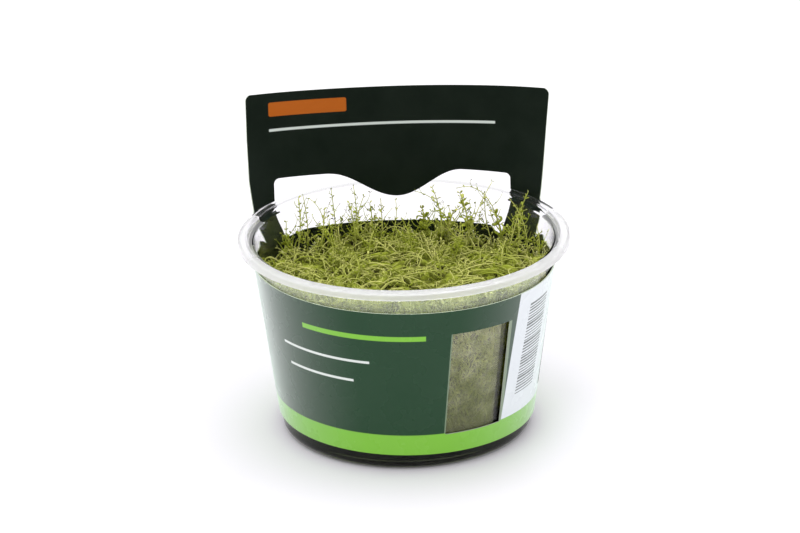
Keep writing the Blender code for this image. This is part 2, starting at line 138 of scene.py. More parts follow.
# Each sprig: foot x and y, height of the tip, lean in x and in y, bow in x and in height, length of a leaf
SPRIGS = [
    (-32.0, 24.0, 64.5, 0.5, 1.0, 0.6, 0.0, 1.9),
    (-29.0, 27.0, 64.5, -1.0, 1.0, 0.6, 0.0, 1.4),
    (-24.5, 30.0, 62.5, -3.5, 0.5, 2.2, 1.5, 1.2),
    (-25.0, 25.0, 60.0, 1.5, 1.0, 0.3, 0.0, 2.3),
    (-19.5, 32.0, 64.5, -1.5, 0.5, 0.0, 0.0, 1.5),
    (-13.5, 33.0, 65.0, -0.5, 0.5, 0.5, 0.0, 1.6),
    (-14.0, 28.0, 61.0, -1.5, 1.0, 0.3, 0.0, 1.7),
    (-12.5, 31.0, 62.0, 1.5, 0.5, -1.2, 0.0, 1.6),
    (-8.5, 33.0, 59.0, -0.5, 0.5, 0.4, 0.0, 2.0),
    (-5.0, 34.0, 60.0, -0.5, 0.0, 0.0, 0.0, 1.8),
    (-3.0, 27.0, 61.5, 2.0, 2.0, 0.8, 0.0, 1.3),
    (11.5, 30.0, 63.5, -6.0, 1.0, 4.2, 2.0, 1.3),
    (13.0, 27.0, 65.5, -2.5, 1.0, 1.0, 0.0, 2.0),
    (8.0, 34.0, 56.5, -0.5, 0.0, 0.4, 0.0, 2.7),
    (15.0, 31.0, 56.5, 2.0, -1.0, 0.0, 0.8, 3.2),
    (21.5, 26.0, 64.0, -2.5, 0.5, 0.8, 0.0, 2.8),
    (21.0, 24.0, 67.5, 8.0, 2.0, -0.8, 0.0, 1.4),
    (32.5, 26.5, 64.5, -14.0, 3.5, 1.5, 6.0, 1.3),
    (28.5, 29.0, 62.5, -1.5, 1.0, -0.6, 0.0, 1.5),
    (31.5, 22.5, 58.5, -2.0, 0.5, 0.5, 0.6, 3.0),
    (33.5, 15.0, 66.0, 6.0, 4.0, -0.5, 0.0, 1.8),
    (38.5, 9.0, 66.5, -5.0, 3.5, 1.4, 1.0, 1.3),
    (35.5, 19.5, 59.5, 2.5, 0.5, 0.3, 0.4, 2.6),
    (35.0, 6.0, 62.0, 0.5, 2.0, 0.5, 0.0, 1.5),
    (-36.0, 18.0, 59.0, 0.5, 1.0, 0.0, 0.0, 1.8),
    (41.5, 2.0, 60.5, -0.5, 2.0, 0.3, 0.0, 1.8),
    (16.0, 8.0, 59.5, 2.0, 2.0, 0.4, 0.0, 2.0),
    (3.0, 12.0, 60.5, -2.5, 1.0, 0.5, 0.0, 1.8),
    (-10.5, 10.0, 59.5, 2.5, 2.0, -0.5, 0.0, 2.0),
    (-21.5, 6.0, 60.0, -1.5, 2.0, 0.6, 0.0, 2.2),
    (-14.0, -14.0, 60.5, 2.5, -1.0, -0.4, 0.0, 2.0),
    (10.0, -18.0, 61.0, -2.0, 1.0, 0.4, 0.4, 2.2),
    (29.0, -10.0, 60.5, 1.5, 3.0, -0.4, 0.0, 2.0),
]

# The photograph's camera, in the part's frame
CAMERA_PLACE_MM = (-39.540, -874.874, 392.226)
CAMERA_FORWARD = (0.04063482, 0.93069041, -0.36354391)
CAMERA_UP = (0.03555665, 0.36226705, 0.93139589)
CAMERA_LENS_MM = 138.52
CAMERA_SENSOR_MM = 36.0


# Properties


def colour_property(name, description, default):
    return bpy.props.FloatVectorProperty(
        name=name, description=description, subtype="COLOR", size=3, min=0.0, max=1.0, default=default
    )


class CupSettings(bpy.types.PropertyGroup):
    steps: bpy.props.IntProperty(
        name="Steps", description="Steps of the turned cup and jelly", default=192, min=24, max=512
    )
    ribs: bpy.props.IntProperty(
        name="Ribs", description="Fine ribs round the flange", default=420, min=0, max=900
    )
    plastic: colour_property("Plastic", "Tint of the clear plastic", (0.98, 0.978, 0.99))
    breath: colour_property("Breath", "Tint of the fogged plastic", (1.0, 1.0, 0.8))
    damp: colour_property("Damp", "Tint of the fogged plastic low down and in patches", (0.56, 0.59, 0.34))
    # Painted shade on the plastic round the jelly at the cup's foot
    painted_foot_shade: colour_property("Painted foot shade", "Tint of the plastic round the jelly", (0.13, 0.155, 0.075))
    jelly: colour_property("Jelly", "Colour of the jelly at the foot of the cup", (0.014, 0.018, 0.006))


class CardSettings(bpy.types.PropertyGroup):
    columns: bpy.props.IntProperty(
        name="Columns", description="Columns of the bent card", default=240, min=60, max=360
    )
    outside: colour_property("Outside", "Print on the band's outer side", (0.0105, 0.052, 0.019))
    inside: colour_property("Inside", "Print on the header's front and the band's inner side", (0.004, 0.0095, 0.005))
    lime: colour_property("Lime", "Stripe along the band's lower edge", (0.22, 0.55, 0.05))
    tag: colour_property("Tag", "Plain tag at the header's upper left", (0.48, 0.115, 0.009))
    panel: colour_property("Panel", "Pale panel at the band's right", (0.80, 0.84, 0.87))
    fibre: colour_property("Fibre", "Bare fibre along the cut edges", (0.62, 0.70, 0.55))


class PlantSettings(bpy.types.PropertyGroup):
    seed: bpy.props.IntProperty(name="Seed", description="Seed of the growth", default=7)
    tufts: bpy.props.IntProperty(
        name="Tufts", description="Tufts over the tangle's upper side", default=170, min=5, max=320
    )
    litter: bpy.props.IntProperty(
        name="Litter", description="Flat stems low between the tufts", default=170, min=10, max=900
    )
    wall_stems: bpy.props.IntProperty(
        name="Wall stems", description="Stems pressed against the wall", default=460, min=0, max=900
    )
    runners: bpy.props.IntProperty(
        name="Runners", description="Curly bare stems over the tangle", default=190, min=0, max=900
    )
    leaf_length: bpy.props.FloatProperty(
        name="Leaf length", description="Length of a full leaf", default=2.3 * MM, unit="LENGTH"
    )
    leaf_width: bpy.props.FloatProperty(
        name="Leaf width", description="Width of a full leaf", default=1.2 * MM, unit="LENGTH"
    )
    stem_radius: bpy.props.FloatProperty(
        name="Stem radius", description="Radius at the foot of a stem", default=0.2 * MM, unit="LENGTH"
    )
    deep: colour_property("Deep", "Colour low in the tangle", (0.04, 0.034, 0.003))
    leaf: colour_property("Leaf", "Colour of a leaf", (0.45, 0.53, 0.045))
    pale: colour_property("Pale", "Colour of pale stems and young leaves", (0.80, 0.80, 0.25))


class StageSettings(bpy.types.PropertyGroup):
    floor: colour_property("Floor", "Colour of the floor", (0.93, 0.91, 0.955))
    top_power: bpy.props.FloatProperty(
        name="Top light", description="Power of the large light overhead", default=8.0, unit="POWER"
    )
    surround: bpy.props.FloatProperty(
        name="Surround", description="Brightness of the white surround", default=0.95
    )
    front: bpy.props.FloatProperty(
        name="Front", description="Brightness of the unlit room that the object's front mirrors", default=0.4
    )
    fill: bpy.props.FloatProperty(
        name="Fill", description="Soft light that comes from that room", default=0.9
    )


# Node helpers


def feed(tree, socket, value):
    if isinstance(value, bpy.types.NodeSocket):
        tree.links.new(value, socket)
    else:
        socket.default_value = value


def node(tree, kind, values=None, **settings):
    made = tree.nodes.new(kind)
    for name, value in settings.items():
        setattr(made, name, value)
    for name, value in (values or {}).items():
        feed(tree, made.inputs[name], value)
    return made


def calc(tree, operation, *values, clamp=False):
    made = node(tree, "ShaderNodeMath", operation=operation, use_clamp=clamp)
    for socket, value in zip(made.inputs, values):
        feed(tree, socket, value)
    return made.outputs[0]


def mixed(tree, mask, first, second):
    """A colour between two colours. A plain colour is given as three numbers."""
    made = node(tree, "ShaderNodeMix", data_type="RGBA")
    colours = [c if isinstance(c, bpy.types.NodeSocket) else (*c, 1.0) for c in (first, second)]
    feed(tree, made.inputs[0], mask)
    feed(tree, made.inputs[6], colours[0])
    feed(tree, made.inputs[7], colours[1])
    return made.outputs[2]


def ranged(tree, value, from_low, from_high, to_low, to_high):
    made = node(tree, "ShaderNodeMapRange", clamp=True)
    for socket, number in zip(made.inputs, (value, from_low, from_high, to_low, to_high)):
        feed(tree, socket, number)
    return made.outputs[0]


def new_group(name, inputs, outputs):
    """An empty shader group with named number or vector sockets: (tree, its inputs, its output node)."""
    tree = bpy.data.node_groups.new(name, "ShaderNodeTree")
    for label, (kind, default) in inputs.items():
        socket = tree.interface.new_socket(name=label, in_out="INPUT", socket_type=kind)
        if default is not None:
            socket.default_value = default
    for label, kind in outputs.items():
        tree.interface.new_socket(name=label, in_out="OUTPUT", socket_type=kind)
    return tree, tree.nodes.new("NodeGroupInput").outputs, tree.nodes.new("NodeGroupOutput")


def use_group(tree, group, **values):
    made = tree.nodes.new("ShaderNodeGroup")
    made.node_tree = group
    for name, value in values.items():
        feed(tree, made.inputs[name.replace("_", " ")], value)
    return made.outputs


def between_group():
    """A mask that is one between two limits and fades over a soft edge."""
    name = "Between"
    if name in bpy.data.node_groups:
        return bpy.data.node_groups[name]
    number = "NodeSocketFloat"
    inputs = {"Value": (number, 0.0), "Low": (number, 0.0), "High": (number, 1.0), "Soft": (number, 0.1)}
    tree, given, result = new_group(name, inputs, {"Mask": number})
    half = calc(tree, "MULTIPLY", given["Soft"], 0.5)
    rise = calc(tree, "SUBTRACT", given["Value"], calc(tree, "SUBTRACT", given["Low"], half))
    fall = calc(tree, "SUBTRACT", calc(tree, "ADD", given["High"], half), given["Value"])
    up = calc(tree, "DIVIDE", rise, given["Soft"], clamp=True)
    down = calc(tree, "DIVIDE", fall, given["Soft"], clamp=True)
    feed(tree, result.inputs["Mask"], calc(tree, "MULTIPLY", up, down))
    return tree


def mottle_group():
    """Two sizes of soft noise on the object's own coordinates, in millimetres."""
    name = "Mottle"
    if name in bpy.data.node_groups:
        return bpy.data.node_groups[name]
    number = "NodeSocketFloat"
    inputs = {"Vector": ("NodeSocketVector", None), "Size": (number, 5.0), "Fine size": (number, 0.6)}
    tree, given, result = new_group(name, inputs, {"Broad": number, "Fine": number})
    for label, size in (("Broad", "Size"), ("Fine", "Fine size")):
        scale = calc(tree, "DIVIDE", 1.0 / MM, given[size])
        grain = node(tree, "ShaderNodeTexNoise", {"Vector": given["Vector"], "Scale": scale, "Detail": 3.0})
        feed(tree, result.inputs[label], ranged(tree, grain.outputs[0], 0.3, 0.7, 0.0, 1.0))
    return tree


def place_group():
    """Object coordinates read as millimetres: x, y, height, distance from the axis, and degrees from the front."""
    name = "Place round the cup"
    if name in bpy.data.node_groups:
        return bpy.data.node_groups[name]
    number = "NodeSocketFloat"
    outputs = {label: number for label in ("X", "Y", "Height", "Radius", "Bearing")}
    tree, given, result = new_group(name, {"Vector": ("NodeSocketVector", None)}, outputs)
    parts = node(tree, "ShaderNodeSeparateXYZ", {"Vector": given["Vector"]}).outputs
    x, y, z = (calc(tree, "MULTIPLY", part, 1.0 / MM) for part in parts)
    square = calc(tree, "ADD", calc(tree, "MULTIPLY", x, x), calc(tree, "MULTIPLY", y, y))
    turn = calc(tree, "ARCTAN2", x, calc(tree, "MULTIPLY", y, -1.0))
    found = {"X": x, "Y": y, "Height": z, "Radius": calc(tree, "SQRT", square)}
    found["Bearing"] = calc(tree, "DEGREES", turn)
    for label, value in found.items():
        feed(tree, result.inputs[label], value)
    return tree


def new_look(name, roughness=0.5, **sockets):
    """A material with its Principled shader: (material, tree, shader, object coordinates)."""
    look = bpy.data.materials.new(name)
    look.use_nodes = True
    tree = look.node_tree
    shader = tree.nodes["Principled BSDF"]
    shader.inputs["Roughness"].default_value = roughness
    for label, value in sockets.items():
        shader.inputs[label.replace("_", " ")].default_value = value
    coordinates = tree.nodes.new("ShaderNodeTexCoord").outputs["Object"]
    return look, tree, shader, coordinates


def bumped(tree, shader, height, distance_mm, strength):
    bump = node(tree, "ShaderNodeBump", {"Height": height, "Distance": distance_mm * MM, "Strength": strength})
    feed(tree, shader.inputs["Normal"], bump.outputs["Normal"])


# Materials


def plastic_look(name, settings, roughness, ior, clear=1.0, patch_mm=14.0):
    """Clear moulded plastic with a soft ripple; a shadow ray goes through it as light does."""
    look, tree, shader, place = new_look(name, roughness, IOR=ior, Transmission_Weight=clear)
    where = use_group(tree, place_group(), Vector=place)
    mottle = use_group(tree, mottle_group(), Vector=place, Size=patch_mm, Fine_size=1.4)
    shader.inputs["Base Color"].default_value = (*settings.plastic, 1.0)
    shadow = node(tree, "ShaderNodeLightPath").outputs["Is Shadow Ray"]
    through = node(tree, "ShaderNodeBsdfTransparent", {"Color": (0.93, 0.94, 0.93, 1.0)})
    mix = tree.nodes.new("ShaderNodeMixShader")
    feed(tree, mix.inputs[0], shadow)
    feed(tree, mix.inputs[1], shader.outputs[0])
    feed(tree, mix.inputs[2], through.outputs[0])
    feed(tree, tree.nodes["Material Output"].inputs["Surface"], mix.outputs[0])
    return look, tree, shader, where, mottle


def clear_wall(settings):
    """The cup's polished wall, with painted shade low down round the jelly for the shadow under the cup and the dark
    jelly seen through the foot.
    """
    look, tree, shader, where, mottle = plastic_look("clear_plastic", settings, 0.03, 1.3)
    # Painted shade: below about five millimetres the plastic takes a dark tint, for the shadow under the cup and the
    # dark jelly seen through it
    low = ranged(tree, where["Height"], 4.8, 6.2, 1.0, 0.0)
    feed(tree, shader.inputs["Base Color"], mixed(tree, low, settings.plastic, settings.painted_foot_shade))
    bumped(tree, shader, mottle["Broad"], 0.03, 0.5)
    return look


def fogged_wall(settings):
    """The wall where the plants' breath has fogged it: behind the card's window, and round the neck."""
    look, tree, shader, where, mottle = plastic_look("fogged_plastic", settings, 0.2, 1.3, 0.87, 4.0)
    neck = ranged(tree, where["Height"], 49.0, 51.0, 0.0, 1.0)
    fog = calc(tree, "MULTIPLY_ADD", neck, 0.07, ranged(tree, mottle["Fine"], 0.0, 1.0, 0.1, 0.22))
    feed(tree, shader.inputs["Roughness"], fog)
    high = ranged(tree, where["Height"], 12.0, 42.0, 0.0, 1.0)
    cloud = calc(tree, "SUBTRACT", high, ranged(tree, mottle["Broad"], 0.0, 1.0, -0.35, 0.6), clamp=True)
    breath = mixed(tree, cloud, settings.damp, settings.breath)
    feed(tree, shader.inputs["Base Color"], mixed(tree, neck, breath, (0.93, 0.98, 0.84)))
    bumped(tree, shader, mottle["Broad"], 0.05, 0.5)
    return look


def ribbed(tree, shader, where, mottle, settings, height_mm):
    """Fine ribs round the flange's flat ring, over the plastic's ripple."""
    turns = calc(tree, "MULTIPLY", calc(tree, "RADIANS", where["Bearing"]), settings.ribs)
    ring = use_group(tree, between_group(), Value=where["Radius"], Low=48.3, High=49.7, Soft=0.3)["Mask"]
    ribs = calc(tree, "MULTIPLY", calc(tree, "SINE", turns), ring)
    bumped(tree, shader, calc(tree, "MULTIPLY_ADD", mottle["Broad"], 0.6, ribs), height_mm, 0.4)


def milky_rim(settings):
    """The flange in front, where the plastic scatters the light from above."""
    look, tree, shader, where, mottle = plastic_look("milky_rim", settings, 0.2, 1.49, 0.82)
    ahead = use_group(tree, between_group(), Value=where["Bearing"], Low=-68.0, High=68.0, Soft=30.0)["Mask"]
    feed(tree, shader.inputs["Roughness"], ranged(tree, ahead, 0.0, 1.0, 0.15, 0.42))
    ribbed(tree, shader, where, mottle, settings, 0.05)
    return look


def clear_rim(settings):
    """The flange behind the plants, which is clear."""
    look, tree, shader, where, mottle = plastic_look("clear_rim", settings, 0.05, 1.12)
    ribbed(tree, shader, where, mottle, settings, 0.03)
    return look


def flat_place(tree):
    """The card's flat layout from its UV map: degrees from the front, and height in millimetres."""
    parts = node(tree, "ShaderNodeSeparateXYZ", {"Vector": node(tree, "ShaderNodeUVMap", uv_map="flat").outputs[0]})
    turn = calc(tree, "MULTIPLY", calc(tree, "SUBTRACT", parts.outputs[0], 0.5), 360.0)
    wrapped = calc(tree, "WRAP", calc(tree, "ADD", turn, 180.0), 180.0, -180.0)
    return calc(tree, "MULTIPLY", wrapped, -1.0), calc(tree, "MULTIPLY", parts.outputs[1], 100.0)


def varnished(tree, shader, place, colour, low, high):
    """Fine board grain and a slightly uneven varnish over the print."""
    mottle = use_group(tree, mottle_group(), Vector=place, Size=9.0, Fine_size=0.25)
    worn = mixed(tree, ranged(tree, mottle["Broad"], 0.0, 1.0, 0.0, 0.012), colour, (0.30, 0.36, 0.30))
    feed(tree, shader.inputs["Base Color"], worn)
    feed(tree, shader.inputs["Roughness"], ranged(tree, mottle["Broad"], 0.0, 1.0, low, high))
    bumped(tree, shader, mottle["Fine"], 0.02, 0.12)


def slanted(tree, bearing, height, slope, middle):
    """Degrees from the front along a line that leans as a straight print does on a cone."""
    rise = calc(tree, "MULTIPLY", calc(tree, "SUBTRACT", height, middle), slope)
    return calc(tree, "SUBTRACT", bearing, rise)


def rounded_group():
    """A mask that is one inside a rectangle with round corners."""
    name = "Rounded patch"
    if name in bpy.data.node_groups:
        return bpy.data.node_groups[name]
    number = "NodeSocketFloat"
    inputs = {label: (number, 0.0) for label in ("Across", "Up", "Low", "High", "Bottom", "Top")}
    inputs.update({"Corner": (number, 0.1), "Soft": (number, 0.15)})
    tree, given, result = new_group(name, inputs, {"Mask": number})
    squares = []
    for value, start, end in (("Across", "Low", "High"), ("Up", "Bottom", "Top")):
        middle = calc(tree, "MULTIPLY", calc(tree, "ADD", given[start], given[end]), 0.5)
        half = calc(tree, "MULTIPLY", calc(tree, "SUBTRACT", given[end], given[start]), 0.5)
        away = calc(tree, "ABSOLUTE", calc(tree, "SUBTRACT", given[value], middle))
        inner = calc(tree, "SUBTRACT", half, given["Corner"])
        past = calc(tree, "MAXIMUM", calc(tree, "SUBTRACT", away, inner), 0.0)
        squares.append(calc(tree, "MULTIPLY", past, past))
    distance = calc(tree, "SQRT", calc(tree, "ADD", *squares))
    room = calc(tree, "DIVIDE", calc(tree, "SUBTRACT", given["Corner"], distance), given["Soft"])
    feed(tree, result.inputs["Mask"], calc(tree, "ADD", room, 0.5, clamp=True))
    return tree


def patch(tree, across, across_limits, up, up_limits, corner=0.1, soft=0.15):
    """A mask that is one inside a rectangle of the flat layout."""
    low, high = across_limits
    bottom, top = up_limits
    values = {"Low": low, "High": high, "Bottom": bottom, "Top": top, "Corner": corner, "Soft": soft}
    return use_group(tree, rounded_group(), Across=across, Up=up, **values)["Mask"]


def card_outside(settings):
    """The band's outer side: dark green, a lime stripe, a pale panel with plain bars, and plain rules."""
    look, tree, shader, place = new_look("card_outside", 0.3, Specular_IOR_Level=0.25)
    for label, value in (("Sheen Weight", 0.7), ("Sheen Roughness", 0.32), ("Coat IOR", 2.2), ("Coat Roughness", 0.3)):
        shader.inputs[label].default_value = value
    shader.inputs["Sheen Tint"].default_value = (0.8, 1.0, 0.87, 1.0)
    bearing, height = flat_place(tree)
    colour = mixed(tree, 0.0, settings.outside, settings.outside)
    rules = [
        ((-45.5, 5.0), (44.2, 45.8), settings.lime),
        ((-58.5, -17.0), (36.2, 37.0), (0.75, 0.80, 0.76)),
        ((-56.0, -24.0), (29.6, 30.4), (0.75, 0.80, 0.76)),
    ]
    for across, up, ink in rules:
        colour = mixed(tree, patch(tree, bearing, across, height, up), colour, ink)
    for slope, limits in ((0.056, (13.95, 14.6)), (0.0147, (40.7, 42.0))):
        line = patch(tree, slanted(tree, bearing, height, slope, 28.75), limits, height, (11.8, 45.7))
        colour = mixed(tree, line, colour, (0.22, 0.29, 0.19))
    panel_place = slanted(tree, bearing, height, 0.1137, 32.0)
    panel = patch(tree, panel_place, (43.54, 96.0), height, (12.2, 99.0))
    colour = mixed(tree, panel, colour, settings.panel)
    bar_place = slanted(tree, bearing, height, 0.15, 33.0)
    rows = calc(tree, "MULTIPLY", height, 1.05)
    picked = node(tree, "ShaderNodeTexWhiteNoise", {"W": calc(tree, "FLOOR", rows)}, noise_dimensions="1D").outputs[0]
    width = ranged(tree, picked, 0.0, 1.0, 0.3, 0.8)
    bars = calc(tree, "LESS_THAN", calc(tree, "FRACT", rows), width)
    bars = calc(tree, "MULTIPLY", bars, patch(tree, bar_place, (51.0, 66.3), height, (19.0, 48.5)))
    colour = mixed(tree, calc(tree, "MULTIPLY", bars, 0.85), colour, (0.05, 0.06, 0.06))
    # Painted shadow: a narrow strip at the panel's far right stands for the shaded gap at the card's overlapped seam
    gap_shadow_place = slanted(tree, bearing, height, 0.1137, 26.4)
    dark = patch(tree, gap_shadow_place, (78.0, 82.0), height, (14.5, 38.5), 0.6, 0.5)
    stripe = ranged(tree, height, 12.1, 12.3, 1.0, 0.0)
    colour = mixed(tree, stripe, colour, settings.lime)
    for across, up, soft in (((-63.8, -61.6), (14.3, 15.9), 1.2), ((-66.9, -65.8), (19.8, 20.6), 0.8)):
        smudge = patch(tree, bearing, across, height, up, 0.5 * soft, soft)
        colour = mixed(tree, calc(tree, "MULTIPLY", smudge, 0.8), colour, (0.012, 0.03, 0.014))
    varnished(tree, shader, place, colour, 0.20, 0.34)
    # The panel is left bare of varnish, and the rest shines most where it turns away
    glance = ranged(tree, node(tree, "ShaderNodeLayerWeight").outputs["Facing"], 0.2, 0.8, 0.0, 1.0)
    feed(tree, shader.inputs["Coat Weight"], calc(tree, "MULTIPLY", glance, calc(tree, "SUBTRACT", 1.0, panel)))
    # Painted shadow: the strip is a near-black, unlit matt shader for the shade in the gap at the seam, and mirrors
    # nothing
    painted_gap_shadow = node(tree, "ShaderNodeBsdfDiffuse", {"Color": (0.006, 0.008, 0.006, 1.0)})
    mix = tree.nodes.new("ShaderNodeMixShader")
    feed(tree, mix.inputs[0], dark)
    feed(tree, mix.inputs[1], shader.outputs[0])
    feed(tree, mix.inputs[2], painted_gap_shadow.outputs[0])
    feed(tree, tree.nodes["Material Output"].inputs["Surface"], mix.outputs[0])
    return look


def card_inside(settings):
    """The header's front and the band's inner side: near-black green, with a plain tag and one rule."""
    look, tree, shader, place = new_look("card_inside", 0.35, Specular_IOR_Level=0.1)
    where = use_group(tree, place_group(), Vector=place)
    bow = calc(tree, "POWER", calc(tree, "DIVIDE", where["X"], HEADER_LEFT_MM), 2.0)
    side = ranged(tree, where["X"], -1.0, 1.0, HEADER_TOP_BOW_LEFT_MM, HEADER_TOP_BOW_RIGHT_MM)
    edge = calc(tree, "MULTIPLY_ADD", bow, side, HEADER_TOP_MM)
    below_top = calc(tree, "SUBTRACT", edge, where["Height"])
    tag = patch(tree, where["X"], (-39.8, -15.2), below_top, (2.95, 7.3), 0.6, 0.2)
    colour = mixed(tree, tag, settings.inside, settings.tag)
    rule = patch(tree, where["X"], (-39.8, 31.5), below_top, (11.1, 11.9), 0.2, 0.2)
    colour = mixed(tree, rule, colour, (0.66, 0.72, 0.69))
    varnished(tree, shader, place, colour, 0.30, 0.45)
    return look


def card_fibre(settings):
    """The bare fibre that shows along the card's cut edges."""
    look, tree, shader, place = new_look("card_fibre", 0.8)
    mottle = use_group(tree, mottle_group(), Vector=place, Size=2.0, Fine_size=0.15)
    darker = tuple(0.6 * part for part in settings.fibre)
    feed(tree, shader.inputs["Base Color"], mixed(tree, mottle["Fine"], darker, settings.fibre))
    bumped(tree, shader, mottle["Fine"], 0.05, 0.4)
    return look


def jelly(settings):
    """Dark clear jelly full of roots, so its colour clouds from brown to green."""
    look, tree, shader, place = new_look("nutrient_jelly", 0.12, IOR=1.34, Transmission_Weight=0.15)
    mottle = use_group(tree, mottle_group(), Vector=place, Size=6.0, Fine_size=1.0)
    cloud = mixed(tree, mottle["Broad"], settings.jelly, (0.02, 0.026, 0.009))
    feed(tree, shader.inputs["Base Color"], mixed(tree, ranged(tree, mottle["Fine"], 0.6, 1, 0, 0.5), cloud, (0.12, 0.13, 0.05)))
    bumped(tree, shader, mottle["Broad"], 0.3, 0.3)
    return look


def plant_look(name, settings, painted_light_scale, roughness, relief_mm=0.05, haze=0.0):
    """Living plant: colour by each leaf's own tint, which carries painted shade low down, scaled by a painted light
    for each look, with a fine uneven skin.
    """
    look, tree, shader, place = new_look(name, roughness, Specular_IOR_Level=0.15)
    tint = node(tree, "ShaderNodeAttribute", attribute_name="tint").outputs["Fac"]
    mottle = use_group(tree, mottle_group(), Vector=place, Size=7.0, Fine_size=0.8)
    drift = calc(tree, "MULTIPLY_ADD", mottle["Broad"], 0.35, calc(tree, "SUBTRACT", tint, 0.17), clamp=True)
    ramp = node(tree, "ShaderNodeValToRGB", {"Fac": drift})
    stops = ramp.color_ramp.elements
    stops[0].position, stops[0].color = 0.0, (*(painted_light_scale * c for c in settings.deep), 1.0)
    stops[1].position, stops[1].color = 1.0, (*(painted_light_scale * c for c in settings.pale), 1.0)
    middle = stops.new(0.5)
    middle.color = (*(painted_light_scale * c for c in settings.leaf), 1.0)
    speckle = ranged(tree, mottle["Fine"], 0.0, 1.0, 0.0, 0.3)
    grown = mixed(tree, speckle, ramp.outputs[0], settings.deep)
    feed(tree, shader.inputs["Base Color"], mixed(tree, haze, grown, (0.85, 0.87, 0.66)))
    bumped(tree, shader, mottle["Fine"], relief_mm, 0.5)
    return look


# Shapes


def finished(name, mesh, looks, nodes, sharp_deg=None):
    """Puts a finished mesh in the scene as a piece that stands for CAD nodes."""
    made = bpy.data.objects.new(name, mesh)
    bpy.context.scene.collection.objects.link(made)
    for look in looks:
        mesh.materials.append(look)
    mesh.polygons.foreach_set("use_smooth", [True] * len(mesh.polygons))
    if sharp_deg is not None:
        mesh.set_sharp_from_angle(angle=math.radians(sharp_deg))
    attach(made, BODY)
    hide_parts(*nodes)
    return made


def smoothstep(value, start, end):
    t = min(max((value - start) / (end - start), 0.0), 1.0)
    return t * t * (3 - 2 * t)


def wall_radius(height_mm):
    """The cup wall's outer radius at a height."""
    return WALL_FOOT_RADIUS_MM + WALL_SLOPE * height_mm


def arc(centre_r, centre_z, radius, start_deg, end_deg, count):
    angles = [math.radians(start_deg + (end_deg - start_deg) * i / count) for i in range(count + 1)]
    return [(centre_r + radius * math.cos(a), centre_z + radius * math.sin(a)) for a in angles]


def turned(name, profile_mm, steps):
    """A profile of (radius, height) points spun round the upright axis."""
    bm = bmesh.new()
    points = [bm.verts.new((r * MM, 0.0, z * MM)) for r, z in profile_mm]
    line = [bm.edges.new(pair) for pair in zip(points, points[1:])]
    bmesh.ops.spin(
        bm,
        geom=points + line,
        cent=(0, 0, 0),
        axis=(0, 0, 1),
        angle=math.tau,
        steps=steps,
        use_merge=True,
    )
    bmesh.ops.remove_doubles(bm, verts=bm.verts[:], dist=0.002 * MM)
    bmesh.ops.recalc_face_normals(bm, faces=bm.faces[:])
    mesh = bpy.data.meshes.new(name)
    bm.to_mesh(mesh)
    bm.free()
    return mesh


def cup_profile():
    """The part's own section with its corners rounded: inside, over the rim, outside, under the foot."""
    top = CUP_HEIGHT_MM
    lip_bottom = top - RIM_LIP_MM
    step = top - MOUTH_STEP_MM
    foot_centre = wall_radius(FOOT_ROUND_MM) - FOOT_ROUND_MM
    inner_top = wall_radius(step) - WALL_MM
    inside_round = FOOT_ROUND_MM - WALL_MM
    floor = [(0.0, FLOOR_TOP_MM), (20.0, FLOOR_TOP_MM)]
    floor += arc(wall_radius(FLOOR_TOP_MM + inside_round) - WALL_MM - inside_round, FLOOR_TOP_MM + inside_round, inside_round, -90, 0, 6)
    wall = [(wall_radius(z) - WALL_MM, z) for z in (GEL_TOP_MM, NECK_FROM_MM)]
    mouth = [(inner_top, step - 0.3), *arc(inner_top + 0.3, step - 0.3, 0.3, 180, 90, 3)]
    mouth += arc(MOUTH_RADIUS_MM - 0.4, step + 0.3, 0.3, -90, 0, 3)
    rim = [(MOUTH_RADIUS_MM, top - 0.4), *arc(MOUTH_RADIUS_MM + 0.4, top - 0.4, 0.4, 180, 90, 4)]
    rim += arc(RIM_RADIUS_MM - 0.8, top - 0.8, 0.8, 90, 0, 6)
    lip = [*arc(RIM_RADIUS_MM - 0.35, lip_bottom + 0.3, 0.35, 0, -90, 4)]
    lip += arc(RIM_RADIUS_MM - 0.35, lip_bottom + 0.3, 0.35, -90, -180, 4)[1:]
    under = [(RIM_RADIUS_MM - 0.75, top - 1.1), *arc(RIM_RADIUS_MM - 1.05, top - 1.1, 0.3, 0, 90, 3)]
    under += [(MOUTH_RADIUS_MM + 0.3, top - 0.85), (MOUTH_RADIUS_MM + 0.05, top - 1.0)]
    neck = [(MOUTH_RADIUS_MM - 0.1, step - 0.5), (wall_radius(step), step - 0.9)]
    outside = [(wall_radius(z), z) for z in (NECK_FROM_MM, GEL_TOP_MM)]
    foot = arc(foot_centre, FOOT_ROUND_MM, FOOT_ROUND_MM, 0, -90, 8)
    ring = [
        (foot_centre - FOOT_RING_MM, 0.0),
        (foot_centre - FOOT_RING_MM - 0.8, FOOT_RECESS_MM),
        (0.0, FOOT_RECESS_MM),
    ]
    return floor + wall + mouth + rim + lip + under + neck + outside + foot + ring


def header_point(x, z):
    """A point of the header: a leaning, shallow curve whose ends curl forward near the rim."""
    above = max(z - HEADER_FOOT_MM, 0.0)
    straight = smoothstep(z, HEADER_FOOT_MM, HEADER_STRAIGHT_MM)
    radius = HEADER_RADIUS_LOW_MM + (HEADER_RADIUS_HIGH_MM - HEADER_RADIUS_LOW_MM) * straight
    back = HEADER_BACK_MM + HEADER_LEAN * (z - HEADER_FOOT_MM)
    curl = HEADER_CURL_MM * math.exp(-above / HEADER_CURL_FADE_MM)
    edge = max(abs(x) - HEADER_CURL_FROM_MM, 0.0) / (HEADER_LEFT_MM - HEADER_CURL_FROM_MM)
    return Vector((x, back - (radius - math.sqrt(radius**2 - x**2)) - curl * edge**2, z))


def band_point(turn_deg, z):
    """A point of the band: a cone that follows the cup's wall, measured from the back."""
    radius = wall_radius(z) + GAP_MM
    a = math.radians(turn_deg)
    x = radius * math.sin(a)
    return Vector((x, radius * math.cos(a), z - BAND_SKEW * x))


